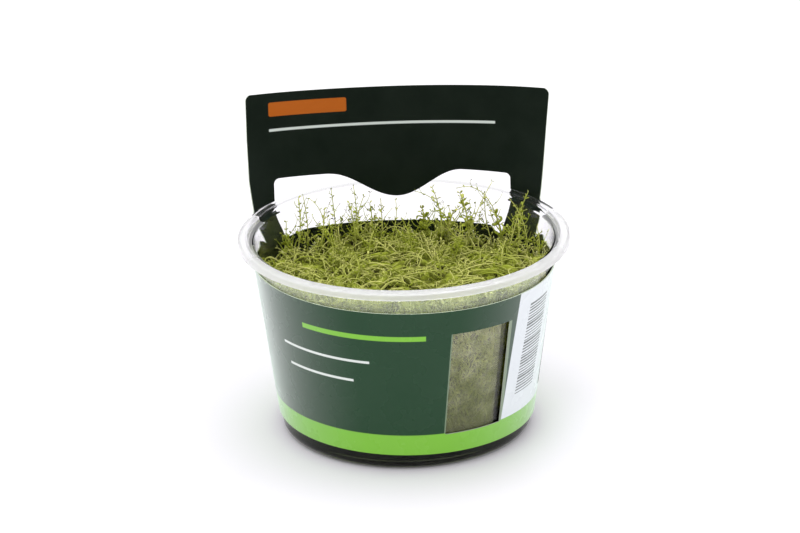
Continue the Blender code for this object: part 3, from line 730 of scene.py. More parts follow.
def card_point(turn_deg, z):
    """The inner face of the bent card: band below, header above, struts between them."""
    band = band_point(turn_deg, z)
    if abs(turn_deg) > 80.0:
        return band
    header = header_point(SHEET_SPAN_MM * math.sin(math.radians(turn_deg)), z)
    end = BEND_END_MM + BEND_END_SIDE_MM * smoothstep(abs(turn_deg), 20.0, 45.0)
    # Beside the struts the card stays on the cone up to the band's top edge
    beside = smoothstep(abs(turn_deg), 70.0, 76.0) * (1.0 - smoothstep(z, 54.0, 58.0))
    return band.lerp(header, smoothstep(z, BEND_START_MM, end) * (1.0 - beside))


def bent(turn_deg, z, out):
    """A point of the card at a distance out from its inner face."""
    here = card_point(turn_deg, z)
    along = card_point(turn_deg + 0.5, z) - card_point(turn_deg - 0.5, z)
    up = card_point(turn_deg, z + 0.2) - card_point(turn_deg, z - 0.2)
    return here + up.cross(along).normalized() * out


def header_turn(x_mm):
    return math.degrees(math.asin(x_mm / SHEET_SPAN_MM))


def outline_cutter(name, outline):
    """A closed outline of (turn, height) points made a solid that passes through the flat card."""
    bm = bmesh.new()
    face = bm.faces.new([bm.verts.new((u, z, -2.0)) for u, z in outline])
    raised = bmesh.ops.extrude_face_region(bm, geom=[face])["geom"]
    moved = [item for item in raised if isinstance(item, bmesh.types.BMVert)]
    bmesh.ops.translate(bm, verts=moved, vec=(0, 0, 4.0))
    bmesh.ops.recalc_face_normals(bm, faces=bm.faces[:])
    mesh = bpy.data.meshes.new(name)
    bm.to_mesh(mesh)
    bm.free()
    made = bpy.data.objects.new(name, mesh)
    bpy.context.scene.collection.objects.link(made)
    return made


def sheet_arc(centre_x, centre_z, radius, start_deg, end_deg, count):
    """An arc given in millimetres across the header, as points of the flat card."""
    points = arc(centre_x, centre_z, radius, start_deg, end_deg, count)
    return [(header_turn(x), z) for x, z in points]


def cutout_top(x):
    """The height of the cut-out's upper edge, without the tongue."""
    return CUTOUT_TOP_MM + CUTOUT_TOP_SLOPE_LEFT * max(-x - TONGUE_RIGHT_MM, 0.0)


def cutout_outline():
    """The wide cut-out between the struts, with the tongue that dips into it from above."""
    tongue = []
    for i in range(-30, 31):
        reach = TONGUE_LEFT_MM if i < 0 else TONGUE_RIGHT_MM
        x = TONGUE_MIDDLE_MM + reach * i / 30
        drop = TONGUE_DEPTH_MM * (1 + math.cos(math.pi * i / 30)) / 2
        tongue.append((header_turn(x), cutout_top(x) - drop))
    corner = CUTOUT_CORNER_MM
    right = sheet_arc(CUTOUT_RIGHT_MM - corner, cutout_top(CUTOUT_RIGHT_MM) - corner, corner, 90, 0, 6)
    right += reversed(RIGHT_STRUT_INNER)
    low = BAND_BACK_EDGE + [(0.0, BAND_BACK_TOP_MM)] + [(-u, z) for u, z in reversed(BAND_BACK_EDGE)]
    left = [(-u, z) for u, z in LEFT_STRUT_INNER]
    left += sheet_arc(corner - CUTOUT_LEFT_MM, cutout_top(-CUTOUT_LEFT_MM) - corner, corner, 180, 90, 6)
    return tongue + right + low + left


def shoulder_outline(sign):
    """What is cut away beside the header: from the band's top edge up to the header's top edge."""
    side = HEADER_RIGHT_MM if sign > 0 else HEADER_LEFT_MM
    bow = HEADER_TOP_BOW_RIGHT_MM if sign > 0 else HEADER_TOP_BOW_LEFT_MM
    strut = RIGHT_STRUT_OUTER if sign > 0 else LEFT_STRUT_OUTER
    corner = HEADER_CORNER_MM
    outline = [(190.0, BAND_TOP_MM)] + strut
    outline.append((header_turn(min(HEADER_LEFT_MM, HEADER_RIGHT_MM)), HEADER_STRAIGHT_MM - 6.0))
    outline += sheet_arc(side - corner, HEADER_TOP_MM + bow - corner, corner, 0, 75, 6)
    for i in range(15, -1, -1):
        outline.append((header_turn(side * i / 16), HEADER_TOP_MM + bow * (i / 16) ** 2))
    outline += [(0.0, 120.0), (190.0, 120.0)]
    return [(sign * u, z) for u, z in outline]


def flat_card(columns):
    """The blank: a grid over the flat card, with a row for every two millimetres or so."""
    rows = 42
    top = 96.0
    bm = bmesh.new()
    bmesh.ops.create_grid(bm, x_segments=columns, y_segments=rows, size=1.0)
    bmesh.ops.scale(bm, vec=(180.0, (top - BAND_BOTTOM_MM) / 2, 1.0), verts=bm.verts[:])
    bmesh.ops.translate(bm, vec=(0.0, (top + BAND_BOTTOM_MM) / 2, 0.0), verts=bm.verts[:])
    mesh = bpy.data.meshes.new("card_blank")
    bm.to_mesh(mesh)
    bm.free()
    made = bpy.data.objects.new("card_blank", mesh)
    bpy.context.scene.collection.objects.link(made)
    solid = made.modifiers.new("Card", "SOLIDIFY")
    solid.thickness = 1.0
    solid.offset = 0.0
    return made


def card_mesh(columns):
    """The die-cut card, cut flat and then bent round the cup. Its UV map keeps the flat layout."""
    blank = flat_card(columns)
    outlines = {
        "cut_cutout": cutout_outline(),
        "cut_window": WINDOW,
        "cut_left": shoulder_outline(-1),
        "cut_right": shoulder_outline(1),
    }
    cutters = []
    for name, outline in outlines.items():
        cut = blank.modifiers.new(name, "BOOLEAN")
        cut.operation = "DIFFERENCE"
        cut.object = outline_cutter(name, outline)
        cutters.append(cut.object)
    bm = bmesh.new()
    bm.from_object(blank, bpy.context.evaluated_depsgraph_get())
    for helper in [blank, *cutters]:
        bpy.data.objects.remove(helper, do_unlink=True)
    ends = [f for f in bm.faces if all(abs(abs(v.co.x) - 180.0) < 0.01 for v in f.verts)]
    bmesh.ops.delete(bm, geom=ends, context="FACES_ONLY")
    flat = bm.loops.layers.uv.new("flat")
    for face in bm.faces:
        face.normal_update()
        face.material_index = 2 if abs(face.normal.z) < 0.5 else (0 if face.normal.z > 0 else 1)
        for loop in face.loops:
            loop[flat].uv = (loop.vert.co.x / 360.0 + 0.5, loop.vert.co.y / 100.0)
    bmesh.ops.triangulate(bm, faces=[f for f in bm.faces if len(f.verts) > 4])
    for vert in bm.verts:
        vert.co = bent(vert.co.x, vert.co.y, (vert.co.z + 0.5) * CARD_MM) * MM
    bmesh.ops.remove_doubles(bm, verts=bm.verts[:], dist=0.000005)
    bmesh.ops.recalc_face_normals(bm, faces=bm.faces[:])
    mesh = bpy.data.meshes.new("printed_card")
    bm.to_mesh(mesh)
    bm.free()
    return mesh


def gel_profile():
    bottom = FLOOR_TOP_MM + GAP_MM
    side = wall_radius(0) - WALL_MM - GAP_MM
    return [
        (0.0, GEL_TOP_MM - 0.3),
        (side + WALL_SLOPE * GEL_TOP_MM - 1.5, GEL_TOP_MM - 0.3),
        (side + WALL_SLOPE * GEL_TOP_MM, GEL_TOP_MM),
        (side + WALL_SLOPE * 4.5, 4.5),
        *arc(side - 2.5 + WALL_SLOPE * 4.0, bottom + 2.5, 2.5, -5, -85, 6),
        (0.0, bottom),
    ]


# Plants


def mat_top(x, y):
    """Height of the tangle's upper side: high at the front wall, lower at the back, with soft lumps."""
    slope = smoothstep(y, -45.0, 45.0)
    lump = noise.noise(Vector((x, y, 0.0)) / MAT_LUMP_SIZE_MM)
    return MAT_FRONT_MM + (MAT_BACK_MM - MAT_FRONT_MM) * slope + MAT_LUMP_MM * lump


def room_radius(z):
    """How far from the axis a plant may reach at a height."""
    return wall_radius(z) - WALL_MM - 0.35


def kept_inside(point, margin=0.0):
    reach = math.hypot(point.x, point.y)
    room = room_radius(min(max(point.z, 0.0), CUP_HEIGHT_MM)) - margin
    if reach > room:
        point.x *= room / reach
        point.y *= room / reach
    return point


def tube_template(sides, rings):
    """A closed tube of unit radius and unit length, with rings to bend it at."""
    bm = bmesh.new()
    bmesh.ops.create_cone(bm, cap_ends=True, segments=sides, radius1=1.0, radius2=1.0, depth=1.0)
    along = [e for e in bm.edges if abs(e.verts[0].co.z - e.verts[1].co.z) > 0.5]
    bmesh.ops.subdivide_edges(bm, edges=along, cuts=rings - 2, use_grid_fill=True)
    mesh = bpy.data.meshes.new("tube_template")
    bm.to_mesh(mesh)
    bm.free()
    return mesh


def leaf_template():
    """A closed leaf of unit length along X: narrow at its root, broad past its middle."""
    bm = bmesh.new()
    bmesh.ops.create_uvsphere(bm, u_segments=4, v_segments=3, radius=0.5)
    bmesh.ops.rotate(bm, cent=(0, 0, 0), matrix=Matrix.Rotation(math.radians(90), 3, "Y"), verts=bm.verts[:])
    bmesh.ops.translate(bm, vec=(0.5, 0, 0), verts=bm.verts[:])
    for vert in bm.verts:
        station = vert.co.x
        if 0.05 < station < 0.95:
            vert.co.x = 0.36 if station < 0.5 else 0.74
            width = 0.40 if station < 0.5 else 0.50
            side = math.hypot(vert.co.y, vert.co.z)
            vert.co.y *= width / side
            vert.co.z *= 0.5 / side
    mesh = bpy.data.meshes.new("leaf_template")
    bm.to_mesh(mesh)
    bm.free()
    return mesh


def template_points(mesh):
    points = np.empty(len(mesh.vertices) * 3)
    mesh.vertices.foreach_get("co", points)
    return points.reshape(-1, 3)


def unit(vectors):
    return vectors / np.maximum(np.linalg.norm(vectors, axis=-1, keepdims=True), 1e-9)


def curve_points(controls, t):
    """Points of cubic curves: controls is (n, 4, 3), t is (m,); the result is (n, m, 3)."""
    s = 1.0 - t
    weights = np.stack([s**3, 3 * s * s * t, 3 * s * t * t, t**3], axis=-1)
    return np.einsum("mk,nkc->nmc", weights, controls)


def curve_tangents(controls, t):
    s = 1.0 - t
    weights = np.stack([-3 * s * s, 3 * s * s - 6 * s * t, 6 * s * t - 3 * t * t, 3 * t * t], axis=-1)
    return unit(np.einsum("mk,nkc->nmc", weights, controls))


def side_vectors(tangents):
    """Two unit vectors square to each tangent."""
    helper = np.where(np.abs(tangents[..., 2:3]) > 0.9, [1.0, 0.0, 0.0], [0.0, 0.0, 1.0])
    first = unit(np.cross(tangents, helper))
    return first, np.cross(tangents, first)


def tube_points(template, controls, radius):
    """The template bent along each curve, thinner towards its end: (n, points, 3)."""
    points = template_points(template)
    t = points[:, 2] + 0.5
    centres = curve_points(controls, t)
    first, second = side_vectors(curve_tangents(controls, t))
    thin = (radius[:, None] * (1.0 - 0.45 * t[None, :]))[..., None]
    return centres + thin * (first * points[None, :, 0:1] + second * points[None, :, 1:2])


def leaf_points(template, roots, ways, faces_up, lengths, widths, droop):
    """The template set at each root: (n, points, 3)."""
    points = template_points(template)[None]
    across = unit(np.cross(ways, faces_up))
    over = np.cross(across, ways)
    length = lengths[:, None, None]
    width = widths[:, None, None]
    x, y, z = points[..., 0:1], points[..., 1:2], points[..., 2:3]
    placed = roots[:, None] + ways[:, None] * x * length + across[:, None] * y * width
    sag = (droop[:, None, None] * x * x - 0.5 * np.abs(y) * 0.5) * length
    return placed + over[:, None] * (z * 0.10 * width - sag)


def joined(name, template, points, tints):
    """One mesh of many copies of a template, each with its own points and its own tint."""
    count, size = points.shape[:2]
    faces = [tuple(face.vertices) for face in template.polygons]
    every = [tuple(v + copy * size for v in face) for copy in range(count) for face in faces]
    mesh = bpy.data.meshes.new(name)
    mesh.from_pydata((points.reshape(-1, 3) * MM).tolist(), [], every)
    tint = mesh.attributes.new("tint", "FLOAT", "POINT")
    spread = np.broadcast_to(np.reshape(tints, (count, -1)), (count, size))
    tint.data.foreach_set("value", np.clip(spread, 0.0, 1.0).astype(np.float32).ravel())
    return mesh


def lighter_up(template, tints, painted_depth_shade):
    """A tint for each point of each tube, painted shade: darker at the foot and lighter at the tip."""
    return tints[:, None] + painted_depth_shade * template_points(template)[None, :, 2]


def leaves_on(controls, tints, sizes, settings, rng, spacing=1.9, start=0.3, missing=0.12, painted_depth_shade=0.6, tip_shade=0.0):
    """Opposite pairs of leaves along each curve, each pair a quarter turn on from the last."""
    chords = np.linalg.norm(np.diff(curve_points(controls, np.linspace(0, 1, 9)), axis=1), axis=-1).sum(axis=1)
    roots, ways, ups, lengths, shades = [], [], [], [], []
    for index, control in enumerate(controls):
        count = int(min(max(chords[index] * (1.0 - start) / spacing, 2), 12))
        t = np.linspace(start, 1.0, count)
        points = curve_points(control[None], t)[0]
        tangents = curve_tangents(control[None], t)[0]
        first, second = side_vectors(tangents)
        spin = rng.uniform(0, math.pi)
        for step in range(count):
            quarter = spin + step * math.pi / 2 + rng.uniform(-0.5, 0.5)
            out = first[step] * math.cos(quarter) + second[step] * math.sin(quarter)
            for sign in (1.0, -1.0):
                if rng.random() < missing:
                    continue
                lift = 0.3 + 0.6 * t[step] + rng.uniform(-0.3, 0.3)
                roots.append(points[step])
                ways.append(out * sign + tangents[step] * lift)
                rolled = [rng.uniform(-0.9, 0.9) for _ in range(3)]
                ups.append(tangents[step] + np.array(rolled))
                lengths.append(sizes[index] * (1.0 - 0.3 * t[step] ** 3) * rng.uniform(0.6, 1.1))
                # Painted shade: leaves low on a stem are darker and leaves near its tip lighter
                shade = tints[index] + painted_depth_shade * (t[step] - 0.6) + tip_shade * t[step] ** 4
                shades.append(shade + rng.uniform(-0.16, 0.16))
    roots, ways, ups = np.array(roots), unit(np.array(ways)), np.array(ups)
    lengths = np.array(lengths) * settings.leaf_length / MM
    widths = lengths * settings.leaf_width / settings.leaf_length
    droop = np.array([rng.uniform(-0.1, 0.35) for _ in roots])
    # A leaf that would poke through the wall turns in towards the axis
    tips = roots + ways * lengths[:, None]
    room = wall_radius(tips[:, 2]) - WALL_MM - 0.5
    over = np.maximum(np.linalg.norm(tips[:, :2], axis=1) - room, 0.0)
    tips[:, :2] -= unit(tips[:, :2]) * over[:, None]
    return roots, unit(tips - roots), ups, lengths, widths, droop, np.clip(np.array(shades), 0.02, 1.0)


def tuft_feet(count, rng):
    """Feet of the tufts: spread at random over the tangle, none too close to another."""
    feet = []
    for _ in range(count * 40):
        reach = 43.5 * math.sqrt(rng.random())
        turn = rng.uniform(0, math.tau)
        foot = Vector((reach * math.cos(turn), reach * math.sin(turn), 0.0))
        apart = rng.uniform(3.3, 5.6)
        if len(feet) < count and all((foot - other).length > apart for other in feet):
            feet.append(foot)
    return feet


def tuft_curves(settings, rng):
    """Tufts: stems that rise from one foot and arch outwards, more upright at the back."""
    curves, tints, sizes = [], [], []
    for foot in tuft_feet(settings.tufts, rng):
        back = smoothstep(foot.y, -5.0, 38.0)
        lean = Vector((rng.gauss(0.0, 0.32), rng.gauss(0.0, 0.32), 0.0))
        clump = noise.noise(Vector((foot.x, foot.y, 12.0)) / 6.0)
        top = mat_top(foot.x, foot.y) + rng.gauss(0.0, 0.9) + 1.6 * clump + rng.uniform(-0.6, 3.2) * back
        shade = rng.uniform(0.3, 0.75) + 0.7 * clump
        for _ in range(rng.randint(5, 8)):
            length = rng.uniform(5.0, 9.5)
            way = rng.uniform(0, math.tau)
            out = Vector((math.cos(way), math.sin(way), 0.0)) * rng.uniform(0.15, 0.95) * (1.0 - 0.35 * back) + lean
            curl = Vector((-math.sin(way), math.cos(way), 0.0)) * rng.uniform(-0.4, 0.4) * length
            root = Vector((foot.x + rng.uniform(-1, 1), foot.y + rng.uniform(-1, 1), top - 0.82 * length))
            points = []
            for share, aside, up in ((0.0, 0.0, 0.0), (0.08, 0.35, 0.38), (0.45, 0.8, 0.82)):
                points.append(root + (out * share + Vector((0.0, 0.0, up))) * length + curl * aside)
            points.append(root + (out + Vector((0.0, 0.0, rng.uniform(0.5, 1.0)))) * length + curl)
            for point in points:
                point.z = min(point.z, mat_top(point.x, point.y) + 1.4 + 3.4 * back)
                kept_inside(point, 0.4)
            curves.append([tuple(point) for point in points])
            tints.append(shade + rng.uniform(-0.08, 0.12))
            sizes.append(rng.uniform(0.6, 0.95))
    return np.array(curves), np.array(tints), np.array(sizes)


def litter_curves(settings, rng):
    """Flat stems low between the tufts, tinted darker than the tufts."""
    curves, tints, sizes = [], [], []
    for _ in range(settings.litter):
        reach = 43.0 * math.sqrt(rng.random())
        turn = rng.uniform(0, math.tau)
        foot = Vector((reach * math.cos(turn), reach * math.sin(turn), 0.0))
        foot.z = mat_top(foot.x, foot.y) - rng.uniform(1.6, 4.2)
        way = rng.uniform(0, math.tau)
        climb = math.radians(rng.gauss(8.0, 14.0))
        length = rng.uniform(6.0, 13.0)
        ahead = Vector((math.cos(way) * math.cos(climb), math.sin(way) * math.cos(climb), math.sin(climb)))
        aside = Vector((-math.sin(way), math.cos(way), 0.0)) * rng.uniform(-0.5, 0.5) * length
        points = [foot, foot + ahead * length * 0.33 + aside * 0.6, foot + ahead * length * 0.68 + aside]
        points.append(foot + ahead * length)
        for point in points:
            point.z = min(point.z, mat_top(point.x, point.y) - 0.6)
            kept_inside(point, 0.4)
        curves.append([tuple(point) for point in points])
        tints.append(rng.uniform(0.02, 0.34))
        sizes.append(rng.uniform(0.7, 1.05))
    return np.array(curves), np.array(tints), np.array(sizes)


def wall_curves(settings, rng):
    """Stems pressed against the wall, from the jelly to the mouth; they show in the window and the neck."""
    curves, tints, sizes = [], [], []
    for index in range(settings.wall_stems):
        in_window = index % 5 < 3
        turn = math.radians(rng.uniform(8.0, 36.5) if in_window else rng.uniform(-180.0, 180.0))
        front = smoothstep(math.cos(turn), -0.6, 0.9)
        top = mat_top(43.0 * math.sin(turn), -43.0 * math.cos(turn)) + 2.2 * front
        if in_window:
            low = rng.uniform(9.6, 44.0)
            high = low + rng.uniform(4.0, 14.0)
        else:
            high = top - rng.uniform(0.0, 4.0)
            low = high - rng.uniform(3.0, 12.0)
        swing = math.radians(rng.uniform(-11.0, 11.0))
        points = []
        for step in range(4):
            z = low + (min(high, top) - low) * (step / 3 + rng.uniform(-0.15, 0.15))
            a = turn + swing * step / 3 + math.radians(rng.uniform(-3.0, 3.0))
            if in_window:
                a = min(a, math.radians(35.5))
            radius = room_radius(z) - rng.uniform(0.3, 2.2)
            points.append((radius * math.sin(a), -radius * math.cos(a), z))
        curves.append(points)
        light = 0.12 + 0.5 * smoothstep(0.5 * (low + high), 12.0, 34.0) if in_window else 0.7
        tints.append(light + rng.uniform(-0.25, 0.3))
        sizes.append(rng.uniform(0.75, 1.0))
    return np.array(curves), np.array(tints), np.array(sizes)


def runner_curves(settings, rng):
    """Curly bare stems that wander over the tangle."""
    curves, tints, radii = [], [], []
    for _ in range(settings.runners):
        reach = 43.0 * math.sqrt(rng.random())
        turn = rng.uniform(0, math.tau)
        place = Vector((reach * math.cos(turn), reach * math.sin(turn), 0.0))
        back = smoothstep(place.y, 0.0, 38.0)
        way = rng.uniform(0, math.tau)
        stride = rng.uniform(2.5, 6.0)
        rise = rng.uniform(0.6, 2.2) + back * rng.uniform(0.0, 3.5)
        points = []
        for up in (-2.5, rise, rise * 0.9, rng.uniform(-1.0, 0.6)):
            reach_now = place.xy.length
            if reach_now > 44.0:
                place = place * (44.0 / reach_now)
            point = Vector((place.x, place.y, mat_top(place.x, place.y) + up))
            points.append(tuple(kept_inside(point, 0.4)))
            way += rng.uniform(-1.0, 1.0)
            place = place + Vector((math.cos(way), math.sin(way), 0.0)) * stride
        curves.append(points)
        tints.append(rng.uniform(0.6, 1.0))
        radii.append(rng.uniform(0.9, 1.5))
    return np.array(curves), np.array(tints), np.array(radii)


def core_mesh():
    """The matted middle of the tangle: soft mounds of wet growth with hollows between them, painted darker as shade.
    """
    bottom = GEL_TOP_MM + GAP_MM
    side = room_radius(0) - 1.6
    high = 44.0
    profile = [(0.0, CUP_HEIGHT_MM)] + [(0.9 * ring, CUP_HEIGHT_MM) for ring in range(1, 47)]
    profile += [(side + WALL_SLOPE * z, z) for z in (high, 38, 32, 26, 20, 14, bottom + 1.0)]
    profile += [(side - 1.0, bottom), (0.0, bottom)]
    mesh = turned("plant_core", profile, 240)
    tints = []
    bm = bmesh.new()
    bm.from_mesh(mesh)
    for vert in bm.verts:
        x, y, z = vert.co / MM
        mound = noise.noise(Vector((x, y, 40.0)) / 4.6)
        grain = noise.noise(Vector((x, y, z + 9.0)) / 1.7)
        rift = noise.noise(Vector((x, y, 70.0)) / 3.0)
        hollow = max(smoothstep(-(mound + 0.5 * grain), 0.12, 0.5), smoothstep(rift, 0.22, 0.4))
        if z > high + 1.0:
            vert.co.z = (mat_top(x, y) - 1.2 + 1.6 * mound + 0.7 * grain - 5.5 * hollow) * MM
            near_wall = smoothstep(math.hypot(x, y), 37.0, 40.0) * smoothstep(-y, 0.0, 25.0)
            # Painted shade darkens the hollows, and painted light brightens the front of the tangle near the wall
            tints.append(0.24 + 0.4 * mound + 0.4 * grain - 0.5 * hollow + 0.4 * near_wall)
        else:
            if z > bottom + 0.5:
                swell = 1.0 + 0.9 * mound / math.hypot(x, y)
                vert.co.x *= swell
                vert.co.y *= swell
            tints.append(0.22 + 0.2 * mound)
    bm.to_mesh(mesh)
    bm.free()
    tint = mesh.attributes.new("tint", "FLOAT", "POINT")
    tint.data.foreach_set("value", np.clip(tints, 0.0, 0.9).astype(np.float32))
    return mesh


def sprig_curves(index, rng):
    """The curves of one sprig: its stem, its foot down in the tangle, and its side shoots."""
    x, y, top, lean_x, lean_y, bow_x, bow_z, leaf_mm = SPRIGS[index]
    foot = Vector((x, y, mat_top(x, y) + 2 * GAP_MM))
    rise = Vector((x + lean_x, y + lean_y, top)) - foot
    bow = Vector((bow_x, 0.0, bow_z)) * 4.0 / 3.0
    stem = [foot, foot + rise / 3 + bow, foot + rise * 2 / 3 + bow, foot + rise]
    down = -(rise / 3 + bow).normalized() * 1.4
    curves = [stem, [foot, foot + down, foot + down * 2, foot + down * 3]]
    for _ in range(rng.randint(2, 4) if rise.length > 8.0 else 1):
        curves.append(side_shoot(foot, rise, bow, rng.uniform(0.35, 0.9), rng.uniform(0.8, 2.2), rng))
    for _ in range(rng.randint(1, 3) if rise.length > 8.0 else 0):
        curves.append(side_shoot(foot, rise, bow, rng.uniform(0.15, 0.6), rng.uniform(3.0, 5.0), rng))
    for _ in range(rng.randint(3, 6)):
        curves.append(side_shoot(foot, rise, bow, rng.uniform(0.0, 0.3), rng.uniform(1.4, 3.2), rng))
    return np.array([[tuple(kept_inside(point, 0.3)) for point in curve] for curve in curves]), leaf_mm


def side_shoot(foot, rise, bow, t, length, rng):
    """A side shoot that leaves the stem at a share of its length and turns upwards."""
    start = foot + rise * t + bow * 0.75 * math.sin(math.pi * t)
    way = rng.uniform(0, math.tau)
    out = Vector((math.cos(way), math.sin(way), rng.uniform(0.0, 1.0))) * length
    bend = Vector((-math.sin(way), math.cos(way), 0.0)) * rng.uniform(-0.5, 0.5) * length
    end = start + out + Vector((0.0, 0.0, 0.7 * length)) + bend
    return [start, start + out * 0.5, start + out * 0.9 + Vector((0.0, 0.0, 0.25 * length)), end]


def sprig_mesh(name, index, tube, leaf, settings, rng):
    """One standing sprig: its stem with side shoots, and its pairs of leaves."""
    controls, leaf_mm = sprig_curves(index, rng)
    radii = np.full(len(controls), 0.06 + 0.085 * leaf_mm)
    radii[2:] *= 0.6
    tint = np.full(len(controls), 0.5 + 0.3 * rng.random())
    low = controls[:, 0, 2] < controls[0, 0, 2] + 0.3 * (controls[0, 3, 2] - controls[0, 0, 2])
    tint[2:] -= 0.15
    stem = joined(name, tube, tube_points(tube, controls, radii), tint + 0.15)
    leafy = np.delete(controls, 1, axis=0)
    bare = leaf_mm < 1.7
    sizes = np.full(len(leafy), max(leaf_mm, 1.2) * MM / settings.leaf_length)
    sizes[1:] = np.where(low[2:], np.maximum(0.75 * sizes[1:], 0.7), 0.65 * sizes[1:])
    shade = -0.45 if bare else 0.15
    spacing, missing = (2.2, 0.25) if bare else (1.7, 0.1)
    placed = leaves_on(leafy, np.delete(tint, 1), sizes, settings, rng, spacing, 0.3, missing, 0.2, shade)
    *shape, shades = placed
    leaves = joined(name + "_leaves", leaf, leaf_points(leaf, *shape), shades)
    bm = bmesh.new()
    bm.from_mesh(stem)
    bm.from_mesh(leaves)
    bm.to_mesh(stem)
    bm.free()
    bpy.data.meshes.remove(leaves)
    return stem


# Operators


class MakeCup(bpy.types.Operator):
    """Turn the clear cup with its flange, stepped mouth and rounded foot"""

    bl_idname = "pearlweed.cup"
    bl_label = "Clear cup"

    def execute(self, context):
        settings = context.scene.pearlweed_cup
        mesh = turned("clear_cup", cup_profile(), settings.steps)
        for face in mesh.polygons:
            middle = face.center / MM
            turn = math.degrees(math.atan2(middle.x, -middle.y))
            if middle.z > CUP_HEIGHT_MM - RIM_LIP_MM - 0.1 and middle.xy.length > FLANGE_FROM_MM:
                face.material_index = 1 if MILKY_DEG[0] < turn < MILKY_DEG[1] else 2
            elif middle.z > NECK_FROM_MM:
                face.material_index = 3 if NECK_FOG_DEG[0] < turn < NECK_FOG_DEG[1] else 0
            elif middle.z > GEL_TOP_MM:
                face.material_index = 3 if WINDOW_FOG_DEG[0] < turn < WINDOW_FOG_DEG[1] else 0
        looks = [clear_wall(settings), milky_rim(settings), clear_rim(settings), fogged_wall(settings)]
        finished("clear_cup", mesh, looks, ["cup"], 40)
        return {"FINISHED"}


class MakeCard(bpy.types.Operator):
    """Cut, bend and print the card sleeve with its tall header"""

    bl_idname = "pearlweed.card"
    bl_label = "Printed card"

    def execute(self, context):
        settings = context.scene.pearlweed_card
        looks = [card_outside(settings), card_inside(settings), card_fibre(settings)]
        finished("card_sleeve", card_mesh(settings.columns), looks, ["sleeve"], 35)
        return {"FINISHED"}


class MakeJelly(bpy.types.Operator):
    """Pour the jelly at the foot of the cup"""

    bl_idname = "pearlweed.jelly"
    bl_label = "Nutrient jelly"

    def execute(self, context):
        settings = context.scene.pearlweed_cup
        mesh = turned("clear_jelly", gel_profile(), settings.steps)
        finished("clear_jelly", mesh, [jelly(settings)], ["nutrient_gel"], 40)
        return {"FINISHED"}


class MakeTangle(bpy.types.Operator):
    """Grow the matted tangle of stems and small leaves that fills the cup"""

    bl_idname = "pearlweed.tangle"
    bl_label = "Plant tangle"

    def execute(self, context):
        settings = context.scene.pearlweed_plants
        rng = random.Random(settings.seed)
        # Painted light: the four looks scale the same colours, darker for the core and brighter for the stems against
        # the wall
        core = plant_look("tangle_core", settings, 0.8, 0.7, 0.4)
        stem_look = plant_look("tangle_stem", settings, 0.95, 0.45)
        leaf_look = plant_look("tangle_leaf", settings, 0.85, 0.5)
        wall_look = plant_look("tangle_wall", settings, 1.25, 0.6, haze=0.35)
        finished("tangle_core", core_mesh(), [core], ["plant_mat"])
        tube = tube_template(4, 7)
        leaf = leaf_template()
        thick = settings.stem_radius / MM
        for name, grow in (("tuft", tuft_curves), ("litter", litter_curves), ("wall", wall_curves)):
            curves, tints, sizes = grow(settings, rng)
            radii = np.full(len(curves), thick)
            stems = joined(name, tube, tube_points(tube, curves, radii), lighter_up(tube, tints + 0.15, 0.6))
            at_wall = name == "wall"
            finished(f"tangle_{name}_stems", stems, [wall_look if at_wall else stem_look], ["plant_mat"])
            *shape, shades = leaves_on(curves, tints, sizes, settings, rng)
            leaves = joined(name, leaf, leaf_points(leaf, *shape), shades)
            finished(f"tangle_{name}_leaves", leaves, [wall_look if at_wall else leaf_look], ["plant_mat"])
        curves, tints, radii = runner_curves(settings, rng)
        runners = joined("runners", tube, tube_points(tube, curves, radii * thick), tints)
        finished("tangle_runners", runners, [stem_look], ["plant_mat"])
        for template in (tube, leaf):
            bpy.data.meshes.remove(template)
        return {"FINISHED"}


class MakeSprigs(bpy.types.Operator):
    """Grow the standing sprigs, each in the place of its own solid"""

    bl_idname = "pearlweed.sprigs"
    bl_label = "Standing sprigs"

    def execute(self, context):
        if len(SPRIG_NODES) != len(SPRIGS):
            raise RuntimeError(f"the part has {len(SPRIG_NODES)} sprigs, not {len(SPRIGS)}")
        settings = context.scene.pearlweed_plants
        # Painted light: the sprigs' colours are scaled a little brighter than the tangle's stems
        look = plant_look("sprig", settings, 1.05, 0.45)
        tube = tube_template(6, 10)
        leaf = leaf_template()
        for index, node_name in enumerate(SPRIG_NODES):
            name = f"grown_{node_name}"
            rng = random.Random(settings.seed * 100 + index)
            mesh = sprig_mesh(name, index, tube, leaf, settings, rng)
            finished(name, mesh, [look], [node_name])
        for template in (tube, leaf):
            bpy.data.meshes.remove(template)
        return {"FINISHED"}


class MakeStage(bpy.types.Operator):
    """Lay the pale floor, hang the soft light and set the camera"""

    bl_idname = "pearlweed.stage"
    bl_label = "Studio"

    def execute(self, context):
        settings = context.scene.pearlweed_stage
        make_floor(settings)
        make_surround(settings)
        make_light(settings)
        make_camera()
        context.scene.view_settings.view_transform = "Standard"
        return {"FINISHED"}


def make_floor(settings):
    bm = bmesh.new()
    bmesh.ops.create_circle(bm, cap_ends=True, segments=96, radius=5.0)
    bmesh.ops.translate(bm, vec=(0, 0, -0.05 * MM), verts=bm.verts[:])
    mesh = bpy.data.meshes.new("floor")
    bm.to_mesh(mesh)
    bm.free()
    look, tree, shader, place = new_look("floor_paper", 0.75, Specular_IOR_Level=0.1)
    grain = node(tree, "ShaderNodeTexNoise", {"Vector": place, "Scale": 6.0, "Detail": 2.0})
    tone = ranged(tree, grain.outputs[0], 0.3, 0.7, 0.0, 0.04)
    feed(tree, shader.inputs["Base Color"], mixed(tree, tone, settings.floor, (0.9, 0.9, 0.9)))
    mesh.materials.append(look)
    made = bpy.data.objects.new("floor", mesh)
    bpy.context.scene.collection.objects.link(made)


